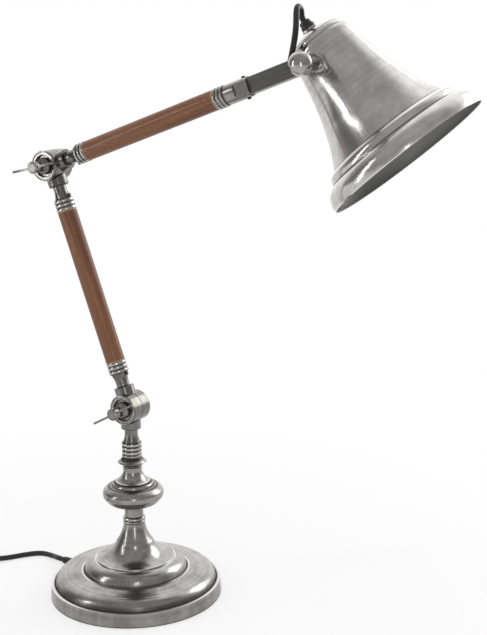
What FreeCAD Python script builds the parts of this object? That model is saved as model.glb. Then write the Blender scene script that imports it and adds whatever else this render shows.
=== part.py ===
import FreeCAD, Part
import math
import os
import re
import Sketcher
from FreeCAD import Placement, Rotation, Vector

# Table lamp with a round weighted base, a turned column, two wooden arms on knuckle
# joints with wing screws, and a bell shade on a ball knob. Millimetres and degrees.
# Frame: origin at the centre of the base's underside, +Z up. Both arms and all three
# pivots lie in the XZ plane, the pivots' axes run along Y, and the shade reaches to +X.

SIZES = {
    # Base: a spun metal shell over an iron weight, closed by a plate and felt
    "base_radius": 100,
    "base_rim_height": 17,
    "base_rim_taper": 1.2,
    "base_ledge": 3.4,
    "base_groove": 0.9,
    "base_dome_rise": 11.5,
    "base_shoulder_radius": 80,
    "base_step_radius": 60,
    "base_step_height": 31.5,
    "base_band_rise": 13,
    "shell_wall": 1.6,
    "foot_radius": 45.5,
    "felt_thickness": 2,
    "felt_margin": 5,
    "plate_thickness": 1.5,
    "weight_thickness": 11,
    "weight_gap": 4,
    "well_depth": 20,
    "hub_width": 24,
    "base_bore": 7,
    # Column: four turned pieces clamped on one threaded tube
    "rod_radius": 5,
    "rod_bore": 3.8,
    "rod_top": 182,
    "rod_clearance": 0.1,
    "foot_edge": 1.8,
    "foot_waist_radius": 21.5,
    "foot_waist_height": 65,
    "foot_top_radius": 12.3,
    "foot_top_height": 88,
    "ring_radius": 13.3,
    "ring_groove": 0.9,
    "ring_height": 7.5,
    "knop_radius": 35.2,
    "knop_centre": 124,
    "knop_half_height": 16.2,
    "knop_neck_radius": 10.9,
    "knop_collar_radius": 23.8,
    "knop_collar_height": 134,
    "knop_bead_radius": 20.2,
    "knop_bead_height": 138.8,
    "knop_top_height": 156,
    "dish_radius": 16.6,
    "dish_height": 163,
    "dish_top_radius": 12,
    "nut_radius": 9.5,
    "nut_height": 6,
    "washer_radius": 14,
    "washer_thickness": 1.5,
    # Knuckle joints: two hollow half drums on a bolt, drawn together by a wing screw
    "column_height": 226.5,
    "drum_radius": 17.5,
    "drum_half": 14.5,
    "seam_gap": 0.8,
    "drum_wall": 3,
    "chamber_radius": 13,
    "hub_radius": 6.2,
    "saddle_gap": 0.7,
    "recess_radius": 12.2,
    "recess_depth": 2,
    "bolt_radius": 3,
    "bolt_clearance": 0.06,
    "bolt_head_radius": 8,
    "bolt_head_height": 3.6,
    "bezel_radius": 17,
    "bezel_width": 1.8,
    "friction_ring_width": 3.8,
    "face_gap": 0.1,
    # Ferrules: collar, waist and three ribs between a drum and an arm
    "collar_radius": 11.5,
    "collar_start": 13,
    "collar_end": 25,
    "waist_radius": 7.6,
    "waist_end": 31,
    "flare_radius": 10.3,
    "rib_radius": 11.6,
    "rib_groove_radius": 10.4,
    "rib_groove": 1.1,
    "rib_width": 3.6,
    "ferrule_length": 54.5,
    "cable_bore": 3.7,
    "tube_seat": 43,
    # Arms: turned wooden rods on threaded tubes
    "lower_lean": 19.7,
    "upper_rise": 19,
    "lower_arm_length": 290,
    "upper_arm_length": 235.5,
    "wood_radius": 11,
    "tube_radius": 5,
    "tube_bore": 3.8,
    "tube_clearance": 0.1,
    "lead_radius": 3.2,
    "grub_radius": 2.1,
    "grub_length": 5.4,
    "grub_proud": 1.3,
    "grub_seat": 38.6,
    "grub_clearance": 0.05,
    # Wing screws
    "wing_base_radius": 9.6,
    "wing_waist_radius": 5.4,
    "wing_cap_radius": 6.7,
    "wing_cap_length": 8,
    "wing_screw_length": 24,
    "wing_span": 30.5,
    "wing_thickness": 2.4,
    "wing_root": 9,
    "wing_tip": 6.5,
    "lower_wing_turn": 28.4,
    "upper_wing_turn": 12.6,
    # Head: squared ferrule, rectangular tube, ball knob and boss
    "head_reach": 347,
    "head_ferrule_end": 278.5,
    "head_ferrule_radius": 10.8,
    "head_flat": 8.4,
    "head_flat_start": 262,
    "head_rib_width": 3.4,
    "bar_height": 17.4,
    "bar_thickness": 12,
    "bar_wall": 1.6,
    "bar_seat": 12,
    "bar_fit": 0.1,
    "bar_cable_hole": 4,
    "bar_cable_place": 316,
    "bush_radius": 6.4,
    "stud_radius": 4,
    "stud_clearance": 0.06,
    "pivot_washer_radius": 9,
    "pivot_washer_thickness": 0.8,
    "knob_radius": 11.6,
    "knob_neck_radius": 8.2,
    "knob_neck": 2.5,
    "boss_radius": 9.6,
    "boss_waist_radius": 7.8,
    "boss_nut_radius": 8,
    "boss_nut_thickness": 5,
    # Shade: a spun bell, hung square to its flank, so that it leans from the arms' plane
    "shade_tilt": 51.2,
    "shade_lean": 6,
    "shade_wall": 1.3,
    "shade_pivot_depth": 36,
    "shade_pivot_radius": 37.5,
    "shade_surface_offset": 22.4,
    "crown_flat_radius": 9,
    "crown_radius": 28.5,
    "crown_height": 7,
    "crown_bead_radius": 32.2,
    "crown_bead_height": 13,
    "crown_shoulder_radius": 34.9,
    "crown_shoulder_height": 20,
    "flank_radius": 42,
    "flank_height": 58,
    "skirt_radius": 52.6,
    "skirt_height": 94,
    "flare_top_radius": 69,
    "flare_top_height": 130.5,
    "bead_radius": 78.3,
    "bead_height": 141.5,
    "lip_radius": 92.5,
    "shade_length": 164.5,
    # Lampholder and bulb inside the shade
    "nipple_radius": 5,
    "nipple_bore": 3.6,
    "nipple_top": 6,
    "nipple_length": 18,
    "gland_ring_radius": 9,
    "gland_ring_height": 3,
    "gland_radius": 7.4,
    "gland_height": 10,
    "holder_cap_radius": 15,
    "holder_radius": 19.5,
    "holder_cap_start": 12,
    "holder_cap_length": 18,
    "holder_length": 30,
    "holder_wall": 2.2,
    "bulb_cap_radius": 13.2,
    "bulb_cap_length": 22,
    "bulb_neck_radius": 14.5,
    "bulb_radius": 22.5,
    "bulb_length": 72,
    "bulb_wall": 0.9,
    # Mains lead: cord, strain relief, in-line switch, coil and plug
    "cord_diameter": 6.5,
    "cord_exit_turn": 173,
    "cord_exit_height": 9,
    "relief_radius": 5.4,
    "relief_tip_radius": 4.2,
    "relief_length": 20,
    "relief_seat": 4,
    "coil_radius": 48,
    "coil_pitch": 7.1,
    "coil_half_turns": 6,
    "coil_layer": 7.1,
    "switch_length": 58,
    "switch_width": 26,
    "switch_height": 17,
    "switch_split": 7.4,
    "switch_seat": 7,
    "rocker_length": 18,
    "rocker_width": 10,
    "rocker_gap": 0.4,
    "rocker_lift": 3,
    "rocker_tilt": 8,
    "plug_length": 38,
    "plug_width": 34,
    "plug_height": 14,
    "plug_neck": 12,
    "pin_radius": 2,
    "pin_length": 19,
    "pin_spread": 9.4,
}

doc = FreeCAD.newDocument("table_lamp")
sheet = doc.addObject("Spreadsheet::Sheet", "Sizes")
for row, (alias, number) in enumerate(SIZES.items(), start=1):
    sheet.set(f"A{row}", alias)
    sheet.set(f"B{row}", str(number))
    sheet.setAlias(f"B{row}", alias)
doc.recompute()

WORD = re.compile(r"[a-z][a-z0-9_]*")
NODES = {}


def bound(text):
    """An expression in size names, as the document reads it."""
    return WORD.sub(lambda w: "Sizes." + w[0] if w[0] in SIZES else w[0], text)


def value(text):
    """The number that an expression in size names gives now."""
    number = sheet.evalExpression(bound(text))
    return float(getattr(number, "Value", number))


def bind(thing, place, text):
    thing.setExpression(place, bound(text))


def keep(piece):
    """Count a piece among those that are written out."""
    NODES[piece.Label] = piece
    return piece


def new_body(label):
    body = doc.addObject("PartDesign::Body", label)
    body.Label = label
    return keep(body)


def sketch_on(body, role, offset="0"):
    """A sketch on one of the body's own planes, moved along the plane's normal."""
    plane = next(p for p in body.Origin.OriginFeatures if p.Role == role)
    sketch = body.newObject("Sketcher::SketchObject", body.Label + "_sketch")
    sketch.AttachmentSupport = [(plane, "")]
    sketch.MapMode = "FlatFace"
    bind(sketch, "AttachmentOffset.Base.z", offset)
    return sketch


def point_rules(edge, end, x, y):
    """Rules that hold one end of an edge at x, y from the sketch's origin."""
    rules = []
    for kind, text, axis in (("DistanceX", x, -2), ("DistanceY", y, -1)):
        number = value(text)
        if abs(number) < 1e-9:
            rules.append((Sketcher.Constraint("PointOnObject", edge, end, axis), None))
        else:
            rules.append((Sketcher.Constraint(kind, -1, 1, edge, end, number), text))
    return rules


def apply_rules(sketch, rules):
    """Add the rules at once and bind those that have a size to its expression."""
    first = sketch.ConstraintCount
    sketch.addConstraint([rule for rule, text in rules])
    for number, (rule, text) in enumerate(rules):
        if text is not None:
            bind(sketch, f"Constraints[{first + number}]", text)


def outline(sketch, corners):
    """A closed outline. A corner is x, y and, where its edge is an arc, the arc's rise
    to the left of the way to the next corner."""
    first = sketch.GeometryCount
    spots = [Vector(value(c[0]), value(c[1]), 0) for c in corners]
    edges = []
    ends = []
    for number, corner in enumerate(corners):
        start = spots[number]
        stop = spots[(number + 1) % len(spots)]
        rise = value(corner[2]) if len(corner) == 3 else 0
        ends.append((2, 1) if rise > 0 else (1, 2))
        if rise == 0:
            edges.append(Part.LineSegment(start, stop))
            continue
        way = stop - start
        left = Vector(-way.y, way.x, 0).normalize()
        middle = (start + stop) * 0.5 + left * rise
        if rise > 0:
            edges.append(Part.Arc(stop, middle, start))
        else:
            edges.append(Part.Arc(start, middle, stop))
    sketch.addGeometry(edges, False)
    rules = []
    for number, corner in enumerate(corners):
        after = (number + 1) % len(corners)
        rules.append((Sketcher.Constraint(
            "Coincident", first + number, ends[number][1], first + after, ends[after][0]), None))
        rules += point_rules(first + number, ends[number][0], corner[0], corner[1])
        if len(corner) == 3:
            chord = (f"((({corners[after][0]}) - ({corner[0]}))^2"
                     f" + (({corners[after][1]}) - ({corner[1]}))^2)")
            rise = f"abs({corner[2]})"
            radius = f"({chord} / 4 + ({rise})^2) / (2 * ({rise}))"
            rules.append((Sketcher.Constraint("Radius", first + number, value(radius)), radius))
    apply_rules(sketch, rules)


def circle(sketch, radius, x="0", y="0"):
    index = sketch.addGeometry(
        Part.Circle(Vector(value(x), value(y), 0), Vector(0, 0, 1), value(radius)), False)
    size = (Sketcher.Constraint("Radius", index, value(radius)), radius)
    apply_rules(sketch, point_rules(index, 3, x, y) + [size])


def rectangle(sketch, low_x, low_y, high_x, high_y):
    outline(sketch, [(low_x, low_y), (high_x, low_y), (high_x, high_y), (low_x, high_y)])


def revolve(body, corners):
    """Turn an outline of radius and height about the body's Z axis."""
    sketch = sketch_on(body, "XZ_Plane")
    outline(sketch, corners)
    turned = body.newObject("PartDesign::Revolution", body.Label + "_turned")
    turned.Profile = sketch
    turned.ReferenceAxis = (sketch, ["V_Axis"])
    turned.Angle = 360
    return turned


def extrude(body, sketch, length, along=True, middle=False):
    """Add material from a sketch, along its normal or against it."""
    pad = body.newObject("PartDesign::Pad", body.Label + "_pad")
    pad.Profile = sketch
    bind(pad, "Length", length)
    pad.Reversed = not along
    pad.SideType = "Symmetric" if middle else "One side"
    return pad


def cut(body, sketch, length, along=True, middle=False):
    """Take material away from a sketch, along its normal or against it."""
    pocket = body.newObject("PartDesign::Pocket", body.Label + "_cut")
    pocket.Profile = sketch
    bind(pocket, "Length", length)
    pocket.Reversed = along
    pocket.SideType = "Symmetric" if middle else "One side"
    return pocket


def turned_body(label, corners):
    body = new_body(label)
    revolve(body, corners)
    return body


def disc_with_hole(label, radius, hole, low, high):
    return turned_body(label, [(hole, low), (radius, low), (radius, high), (hole, high)])


def shape_piece(label, shape, place=None):
    """A piece whose form is worked out here, with its place set after its shape."""
    piece = doc.addObject("Part::Feature", label)
    piece.Label = label
    piece.Shape = shape
    if place:
        piece.Placement = place
    return keep(piece)


# Places of the three pivots and the frames that the arms and the shade are built in

LEAN = value("lower_lean")
RISE = value("upper_rise")
ALONG_LOWER = Vector(-math.sin(math.radians(LEAN)), 0, math.cos(math.radians(LEAN)))
ALONG_UPPER = Vector(math.cos(math.radians(RISE)), 0, math.sin(math.radians(RISE)))
Y_AXIS = Vector(0, 1, 0)
LOWER_JOINT = Vector(0, 0, value("column_height"))
UPPER_JOINT = LOWER_JOINT + ALONG_LOWER * value("lower_arm_length")
HEAD_PIVOT = UPPER_JOINT + ALONG_UPPER * value("head_reach")


def along(origin, direction):
    """A frame at origin with Z along a direction in the XZ plane and Y left as it is."""
    turn = math.degrees(math.atan2(direction.x, direction.z))
    return Placement(origin, Rotation(Y_AXIS, turn))


def facing(origin, front=True, turn=0):
    """A frame with Z along a pivot, to the front or the rear, and X turned up by turn."""
    tip = Rotation(Vector(1, 0, 0), 90 if front else -90)
    return Placement(origin, Rotation(Y_AXIS, -turn).multiply(tip))


UP_COLUMN_TOP = along(LOWER_JOINT, Vector(0, 0, -1))
UP_LOWER = along(LOWER_JOINT, ALONG_LOWER)
DOWN_LOWER = along(UPPER_JOINT, ALONG_LOWER * -1)
ALONG_HEAD = along(UPPER_JOINT, ALONG_UPPER)


# Base

def base_shell():
    """Spun shell: tapered rim, groove, domed shoulder, stepped band and a flat top."""
    rim_top = "base_radius - base_rim_taper"
    dome = "base_radius - base_rim_taper - base_ledge"
    top = "base_step_height + base_band_rise"
    outside = [
        ("base_radius", "felt_thickness / 2"),
        (rim_top, "base_rim_height"),
        (dome, "base_rim_height + 0.4"),
        (f"{dome} - base_groove", "base_rim_height - base_groove"),
        (f"{dome} - 1.4 * base_groove", "base_rim_height + base_groove", "-3.4"),
        ("base_shoulder_radius", "base_rim_height + base_dome_rise", "-0.5"),
        ("base_step_radius + 1.2", "base_step_height"),
        ("base_step_radius + 0.5", "base_step_height - 0.5"),
        ("base_step_radius", "base_step_height + 0.4", "-3.6"),
        ("foot_radius + 0.6", top),
    ]
    inside = [
        ("base_bore", top),
        ("base_bore", f"{top} - shell_wall"),
        ("foot_radius - shell_wall", f"{top} - shell_wall", "3.0"),
        ("base_step_radius - shell_wall", "base_step_height - shell_wall"),
        ("base_shoulder_radius - shell_wall",
         "base_rim_height + base_dome_rise - shell_wall", "3.0"),
        (f"{dome} - base_groove - shell_wall", "base_rim_height - base_groove - shell_wall"),
        (f"{rim_top} - shell_wall", "base_rim_height - base_groove - shell_wall"),
        ("base_radius - shell_wall", "felt_thickness / 2"),
    ]
    body = turned_body("base_shell", outside + inside)
    hole = sketch_on(body, "YZ_Plane", "base_radius - 10")
    circle(hole, "relief_radius + 0.05", "0", "cord_exit_height")
    cut(body, hole, "20", along=True)
    body.Placement = Placement(Vector(), Rotation(Vector(0, 0, 1), value("cord_exit_turn")))


base_shell()
PLATE_RADIUS = "base_radius - felt_margin"
turned_body("felt_pad", [("0", "0"), (PLATE_RADIUS, "0"), (PLATE_RADIUS, "felt_thickness"),
                         ("0", "felt_thickness")])
disc_with_hole("base_plate", f"{PLATE_RADIUS} + 1", "base_bore + 9", "felt_thickness",
               "felt_thickness + plate_thickness")


SHELL_UNDER = "base_step_height + base_band_rise - shell_wall"


def base_weight():
    """Cast iron disc with a hub up to the shell and a slot that lets the lead pass from
    the rim to the middle."""
    low = "felt_thickness + plate_thickness"
    body = turned_body("base_weight", [
        ("rod_radius + rod_clearance", low),
        (f"{PLATE_RADIUS} - weight_gap", low),
        (f"{PLATE_RADIUS} - weight_gap - 1.5", f"{low} + weight_thickness"),
        ("base_step_radius - 4", f"{low} + weight_thickness"),
        ("base_step_radius - 12", f"{low} + 2 * weight_thickness"),
        ("hub_width", f"{low} + 2 * weight_thickness"),
        ("hub_width - 2", SHELL_UNDER),
        ("rod_radius + rod_clearance", SHELL_UNDER),
    ])
    well = sketch_on(body, "XY_Plane", low)
    circle(well, "washer_radius + 2")
    cut(body, well, "well_depth", along=True)
    slot = sketch_on(body, "XY_Plane", low)
    rectangle(slot, "washer_radius - 4", "-lead_radius - 0.1", PLATE_RADIUS, "lead_radius + 0.1")
    cut(body, slot, "weight_thickness + 0.5", along=True)
    body.Placement = Placement(Vector(), Rotation(Vector(0, 0, 1), value("cord_exit_turn")))


base_weight()
WELL_TOP = "(felt_thickness + plate_thickness + well_depth)"
ROD_LOW = f"({WELL_TOP} - washer_thickness - nut_height - 1)"
disc_with_hole("base_washer", "washer_radius", "rod_radius + rod_clearance",
               f"{WELL_TOP} - washer_thickness", WELL_TOP)


def hexagon(sketch, across_corners):
    """A hexagon about the sketch's origin."""
    half = f"({across_corners}) / 2"
    rise = f"({across_corners}) * 0.8660254"
    outline(sketch, [
        (across_corners, "0"), (half, rise), (f"-{half}", rise),
        (f"-({across_corners})", "0"), (f"-{half}", f"-{rise}"), (half, f"-{rise}"),
    ])


def nut(label, radius, bore, low, height):
    body = new_body(label)
    sketch = sketch_on(body, "XY_Plane", low)
    hexagon(sketch, radius)
    circle(sketch, bore)
    extrude(body, sketch, height)
    return body


nut("base_nut", "nut_radius", "rod_radius + rod_clearance / 2",
    f"{WELL_TOP} - washer_thickness - nut_height", "nut_height")

# Column

disc_with_hole("column_rod", "rod_radius", "rod_bore", ROD_LOW, "rod_top")

COLUMN_BORE = "rod_radius + rod_clearance"
FOOT_SEAT = "base_step_height + base_band_rise"
turned_body("column_foot", [
    (COLUMN_BORE, FOOT_SEAT),
    ("foot_radius", FOOT_SEAT),
    ("foot_radius", f"{FOOT_SEAT} + foot_edge", "4.4"),
    ("foot_waist_radius", "foot_waist_height", "1.7"),
    ("foot_top_radius", "foot_top_height"),
    (COLUMN_BORE, "foot_top_height"),
])

RING_TOP = "foot_top_height + ring_height"
turned_body("neck_ring", [
    (COLUMN_BORE, "foot_top_height"),
    ("ring_radius - ring_groove", "foot_top_height", "-0.6"),
    ("ring_radius - ring_groove", "foot_top_height + ring_height * 0.36"),
    ("ring_radius - 2 * ring_groove", "foot_top_height + ring_height * 0.42"),
    ("ring_radius - ring_groove / 2", "foot_top_height + ring_height * 0.5", "-0.5"),
    ("ring_radius - ring_groove", f"{RING_TOP} - 0.6"),
    ("ring_radius - 2 * ring_groove", RING_TOP),
    (COLUMN_BORE, RING_TOP),
])


def column_knop():
    """Oblate knop with a neck below and, above it, two collars and a hollow-sided neck."""
    low = "knop_centre - knop_half_height"
    turned_body("column_knop", [
        (COLUMN_BORE, RING_TOP),
        ("knop_neck_radius", RING_TOP),
        ("knop_neck_radius", f"{low} + 1"),
        ("knop_radius * 0.62", f"{low} + knop_half_height * 0.19", "-1.6"),
        ("knop_radius * 0.92", "knop_centre - knop_half_height * 0.42", "-0.95"),
        ("knop_radius", "knop_centre", "-0.95"),
        ("knop_radius * 0.92", "knop_centre + knop_half_height * 0.38", "-0.8"),
        ("knop_collar_radius + 0.8", "knop_collar_height - 0.4"),
        ("knop_collar_radius - 0.2", "knop_collar_height - 1"),
        ("knop_collar_radius", "knop_collar_height + 0.3", "-0.7"),
        ("knop_bead_radius + 1", "knop_bead_height - 1.2"),
        ("knop_bead_radius - 0.2", "knop_bead_height - 1.6"),
        ("knop_bead_radius", "knop_bead_height - 0.3", "1.7"),
        ("knop_neck_radius", "knop_top_height - 5.5"),
        ("knop_neck_radius + 0.2", "knop_top_height"),
        (COLUMN_BORE, "knop_top_height"),
    ])


column_knop()
DISH_TOP = "column_height - ferrule_length"
turned_body("column_dish", [
    (COLUMN_BORE, "knop_top_height"),
    ("knop_neck_radius + 0.4", "knop_top_height", "1.1"),
    ("dish_radius - 0.6", "dish_height - 0.8"),
    ("dish_radius", "dish_height", "0.7"),
    ("dish_top_radius", DISH_TOP),
    (COLUMN_BORE, DISH_TOP),
])

# Knuckle joints

SEAM = "seam_gap / 2"
LEAD_START = "(drum_radius + saddle_gap + 0.4)"
RIBS = "ferrule_length - 3 * rib_width - 2 * rib_groove"


def rib_corners(start, count, width):
    """Rounded ribs with narrow grooves between them, from start on, outside edge only."""
    corners = []
    for number in range(count):
        low = f"{start} + {number} * ({width} + rib_groove)"
        corners += [
            ("rib_radius - 0.5", low, "-0.45"),
            ("rib_radius - 0.5", f"{low} + {width}"),
        ]
        if number < count - 1:
            corners += [
                ("rib_groove_radius", f"{low} + {width}"),
                ("rib_groove_radius", f"{low} + {width} + rib_groove"),
            ]
    return corners


def ferrule(label, frame, front, bore_from, tube_hole, grub_side=0):
    """Casting of half a drum, saddle collar, waist and ribs, built with Z away from the
    joint. The front half drum carries the recess that the wing screw turns in."""
    body = new_body(label)
    revolve(body, [
        ("0", "collar_start"),
        ("collar_radius", "collar_start"),
        ("collar_radius", "collar_end - 0.6"),
        ("collar_radius - 0.6", "collar_end"),
        ("waist_radius + 0.5", "collar_end"),
        ("waist_radius", "collar_end + 1.2"),
        ("waist_radius", "waist_end", "0.6"),
        ("flare_radius", RIBS),
        *rib_corners(RIBS, 3, "rib_width"),
        ("0", "ferrule_length"),
    ])
    other = sketch_on(body, "XZ_Plane", SEAM if front else f"-{SEAM}")
    circle(other, "drum_radius + saddle_gap")
    cut(body, other, "drum_half + 5", along=not front)
    half = sketch_on(body, "XZ_Plane", SEAM if front else f"-{SEAM}")
    circle(half, "drum_radius")
    extrude(body, half, f"drum_half - {SEAM}", along=front)
    chamber = sketch_on(body, "XZ_Plane", SEAM if front else f"-{SEAM}")
    circle(chamber, "chamber_radius")
    circle(chamber, "hub_radius")
    recess = " - recess_depth" if front else ""
    cut(body, chamber, f"drum_half - {SEAM} - drum_wall{recess}", along=front)
    hole = sketch_on(body, "XZ_Plane", "0")
    circle(hole, "bolt_radius + bolt_clearance")
    cut(body, hole, "drum_half + 1", along=front)
    if front:
        dish = sketch_on(body, "XZ_Plane", "drum_half - recess_depth")
        circle(dish, "recess_radius")
        cut(body, dish, "recess_depth + 1", along=True)
    passage = sketch_on(body, "XY_Plane", "hub_radius + 1")
    circle(passage, "cable_bore", "0", "0")
    cut(body, passage, "ferrule_length", along=True)
    socket = sketch_on(body, "XY_Plane", bore_from)
    circle(socket, tube_hole)
    cut(body, socket, "ferrule_length", along=True)
    if grub_side:
        grub = sketch_on(body, "YZ_Plane", "0")
        circle(grub, "grub_radius + grub_clearance", "0", "grub_seat")
        cut(body, grub, "wood_radius + 5", along=grub_side > 0)
    body.Placement = frame
    return body


ROD_SEAT = "column_height - rod_top"
TUBE_HOLE = "tube_radius + tube_clearance"
ferrule("column_ferrule", UP_COLUMN_TOP, False, ROD_SEAT, COLUMN_BORE)
ferrule("lower_arm_foot", UP_LOWER, True, "tube_seat", TUBE_HOLE, 1)
ferrule("lower_arm_head", DOWN_LOWER, False, "tube_seat", TUBE_HOLE, -1)
ferrule("upper_arm_foot", ALONG_HEAD, True, "tube_seat", TUBE_HOLE, 1)


def knuckle_fittings(name, joint, wing_turn):
    """Bolt, friction ring, bezel and wing screw of one joint."""
    bolt = turned_body(f"{name}_bolt", [
        ("0", "-drum_half - bolt_head_height"),
        ("bolt_head_radius * 0.55", "-drum_half - bolt_head_height", "-0.9"),
        ("bolt_head_radius", "-drum_half"),
        ("bolt_radius", "-drum_half"),
        ("bolt_radius", "drum_half - recess_depth + 14"),
        ("0", "drum_half - recess_depth + 14"),
    ])
    bolt.Placement = facing(joint)
    washer = disc_with_hole(f"{name}_friction_ring", "drum_radius - 0.4",
                            "drum_radius - 0.4 - friction_ring_width",
                            f"-{SEAM} + 0.02", f"{SEAM} - 0.02")
    washer.Placement = facing(joint)
    bezel = turned_body(f"{name}_bezel", [
        ("recess_radius", "drum_half"),
        ("bezel_radius", "drum_half"),
        ("bezel_radius", "drum_half + bezel_width * 0.5", "-0.4"),
        ("bezel_radius - 1.4", "drum_half + bezel_width"),
        ("bezel_radius - 2", "drum_half + bezel_width * 0.6"),
        ("recess_radius + 1", "drum_half + bezel_width * 0.6"),
        ("recess_radius", "drum_half + bezel_width * 0.2"),
    ])
    bezel.Placement = facing(joint)
    screw = new_body(f"{name}_wing_screw")
    seat = "drum_half - recess_depth + face_gap"
    cap = f"{seat} + wing_screw_length - wing_cap_length"
    revolve(screw, [
        ("0", seat),
        ("wing_base_radius", seat),
        ("wing_base_radius", f"{seat} + 1.4", "-1.2"),
        ("wing_waist_radius + 0.8", f"{seat} + 7.4", "0.5"),
        ("wing_waist_radius", f"{cap} - 2.4"),
        ("wing_cap_radius", cap),
        ("wing_cap_radius", f"{cap} + wing_cap_length - 1"),
        ("wing_cap_radius - 1.2", f"{cap} + wing_cap_length"),
        ("0", f"{cap} + wing_cap_length"),
    ])
    wings = sketch_on(screw, "XZ_Plane")
    top = f"({seat} + wing_screw_length - 1.5)"
    outline(wings, [
        ("-wing_waist_radius", f"{top} - wing_root"),
        ("wing_waist_radius", f"{top} - wing_root", "0.8"),
        ("wing_span - 2.5", f"{top} - wing_tip", "-1"),
        ("wing_span", f"{top} - wing_tip / 2 + 0.8", "-1.1"),
        ("wing_span - 2.5", f"{top} + 1", "0.7"),
        ("wing_waist_radius", f"{top} - 0.8"),
        ("-wing_waist_radius", f"{top} - 0.8", "0.7"),
        ("2.5 - wing_span", f"{top} + 1", "-1.1"),
        ("-wing_span", f"{top} - wing_tip / 2 + 0.8", "-1"),
        ("2.5 - wing_span", f"{top} - wing_tip", "0.8"),
    ])
    extrude(screw, wings, "wing_thickness", middle=True)
    bore = sketch_on(screw, "XY_Plane", seat)
    circle(bore, "bolt_radius + bolt_clearance")
    cut(screw, bore, "14.6", along=True)
    screw.Placement = facing(joint, turn=value(wing_turn))


knuckle_fittings("lower_joint", LOWER_JOINT, "lower_wing_turn")
knuckle_fittings("upper_joint", UPPER_JOINT, "upper_wing_turn")

# Arms


def arm(name, frame, start, stop, beyond):
    """Wooden rod, the threaded tube through it and the lead inside the tube."""
    wood = disc_with_hole(f"{name}_wood", "wood_radius", TUBE_HOLE, start, stop)
    wood.Placement = frame
    tube = disc_with_hole(f"{name}_tube", "tube_radius", "tube_bore",
                          "tube_seat + 0.2", f"{stop} + 11")
    tube.Placement = frame
    lead = turned_body(f"{name}_lead", [
        ("0", LEAD_START), ("lead_radius", LEAD_START),
        ("lead_radius", f"{stop} + {beyond}"), ("0", f"{stop} + {beyond}"),
    ])
    lead.Placement = frame


arm("lower_arm", UP_LOWER, "ferrule_length", "lower_arm_length - ferrule_length",
    f"ferrule_length - {LEAD_START}")
arm("upper_arm", ALONG_HEAD, "ferrule_length", "upper_arm_length", "34")


def grub_screws(name, places):
    """Black set screws, each given by its frame and its distance along and across it."""
    screws = []
    for number, (frame, height, reach, length, side) in enumerate(places):
        screw = doc.addObject("Part::Cylinder", f"{name}_{number}")
        bind(screw, "Radius", "grub_radius")
        bind(screw, "Height", length)
        tip = Rotation(Y_AXIS, 90 * side)
        start = Vector(side * value(f"{reach} + grub_proud - {length}"), 0, value(height))
        screw.Placement = frame.multiply(Placement(start, tip))
        screws.append(screw)
    group = doc.addObject("Part::Compound", name)
    group.Label = name
    group.Links = screws
    return keep(group)


SEAT_RADIUS = "(flare_radius - 0.6)"
grub_screws("lower_arm_grub_screws",
            [(UP_LOWER, "grub_seat", SEAT_RADIUS, "grub_length", 1),
             (DOWN_LOWER, "grub_seat", SEAT_RADIUS, "grub_length", -1)])

# Head end of the upper arm


def head_ferrule():
    """Ribbed ferrule whose far end is milled square to take the bar."""
    body = new_body("head_ferrule")
    ribs_end = "upper_arm_length + 3 * head_rib_width + 2 * rib_groove"
    revolve(body, [
        ("0", "upper_arm_length"),
        *rib_corners("upper_arm_length", 3, "head_rib_width"),
        ("rib_groove_radius", ribs_end),
        ("rib_groove_radius", f"{ribs_end} + 1"),
        ("head_ferrule_radius", f"{ribs_end} + 1.4"),
        ("head_ferrule_radius", "head_ferrule_end - 1"),
        ("head_ferrule_radius - 0.8", "head_ferrule_end"),
        ("0", "head_ferrule_end"),
    ])
    for low, high in (("head_flat", "wood_radius + 5"), ("-wood_radius - 5", "-head_flat")):
        flat = sketch_on(body, "XY_Plane", "head_flat_start")
        rectangle(flat, "-wood_radius - 5", low, "wood_radius + 5", high)
        cut(body, flat, "head_ferrule_end - head_flat_start + 1", along=True)
    socket = sketch_on(body, "XY_Plane", "upper_arm_length")
    circle(socket, TUBE_HOLE)
    cut(body, socket, "12", along=True)
    passage = sketch_on(body, "XY_Plane", "upper_arm_length")
    circle(passage, "cable_bore")
    cut(body, passage, "head_ferrule_end - upper_arm_length", along=True)
    seat = sketch_on(body, "XY_Plane", "head_ferrule_end - bar_seat")
    rectangle(seat, "-bar_height / 2 - bar_fit", "-bar_thickness / 2 - bar_fit",
              "bar_height / 2 + bar_fit", "bar_thickness / 2 + bar_fit")
    cut(body, seat, "bar_seat + 1", along=True)
    grubs = sketch_on(body, "YZ_Plane", "-wood_radius - 5")
    circle(grubs, "grub_radius + grub_clearance", "0", "head_ferrule_end - bar_seat / 2")
    cut(body, grubs, "2 * wood_radius + 10", along=True)
    body.Placement = ALONG_HEAD


head_ferrule()


def head_bar():
    """Rectangular tube with a rounded end, cross-drilled for the pivot and the cable."""
    body = new_body("head_bar")
    side = sketch_on(body, "XZ_Plane")
    half = "bar_height / 2"
    outline(side, [
        (f"-{half}", "head_ferrule_end - bar_seat"),
        (half, "head_ferrule_end - bar_seat"),
        (half, "head_reach + 1", f"-{half} * 0.98"),
        (f"-{half}", "head_reach + 1"),
    ])
    extrude(body, side, "bar_thickness", middle=True)
    core = sketch_on(body, "XY_Plane", "head_ferrule_end - bar_seat")
    rectangle(core, f"bar_wall - {half}", "bar_wall - bar_thickness / 2",
              f"{half} - bar_wall", "bar_thickness / 2 - bar_wall")
    cut(body, core, "head_reach - head_ferrule_end + bar_seat - bush_radius - 2", along=True)
    eye = sketch_on(body, "XZ_Plane")
    circle(eye, "bush_radius", "0", "head_reach")
    cut(body, eye, "bar_thickness + 2", middle=True)
    outlet = sketch_on(body, "XZ_Plane")
    circle(outlet, "bar_cable_hole", "0", "bar_cable_place")
    cut(body, outlet, "bar_thickness", along=False)
    body.Placement = ALONG_HEAD


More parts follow.
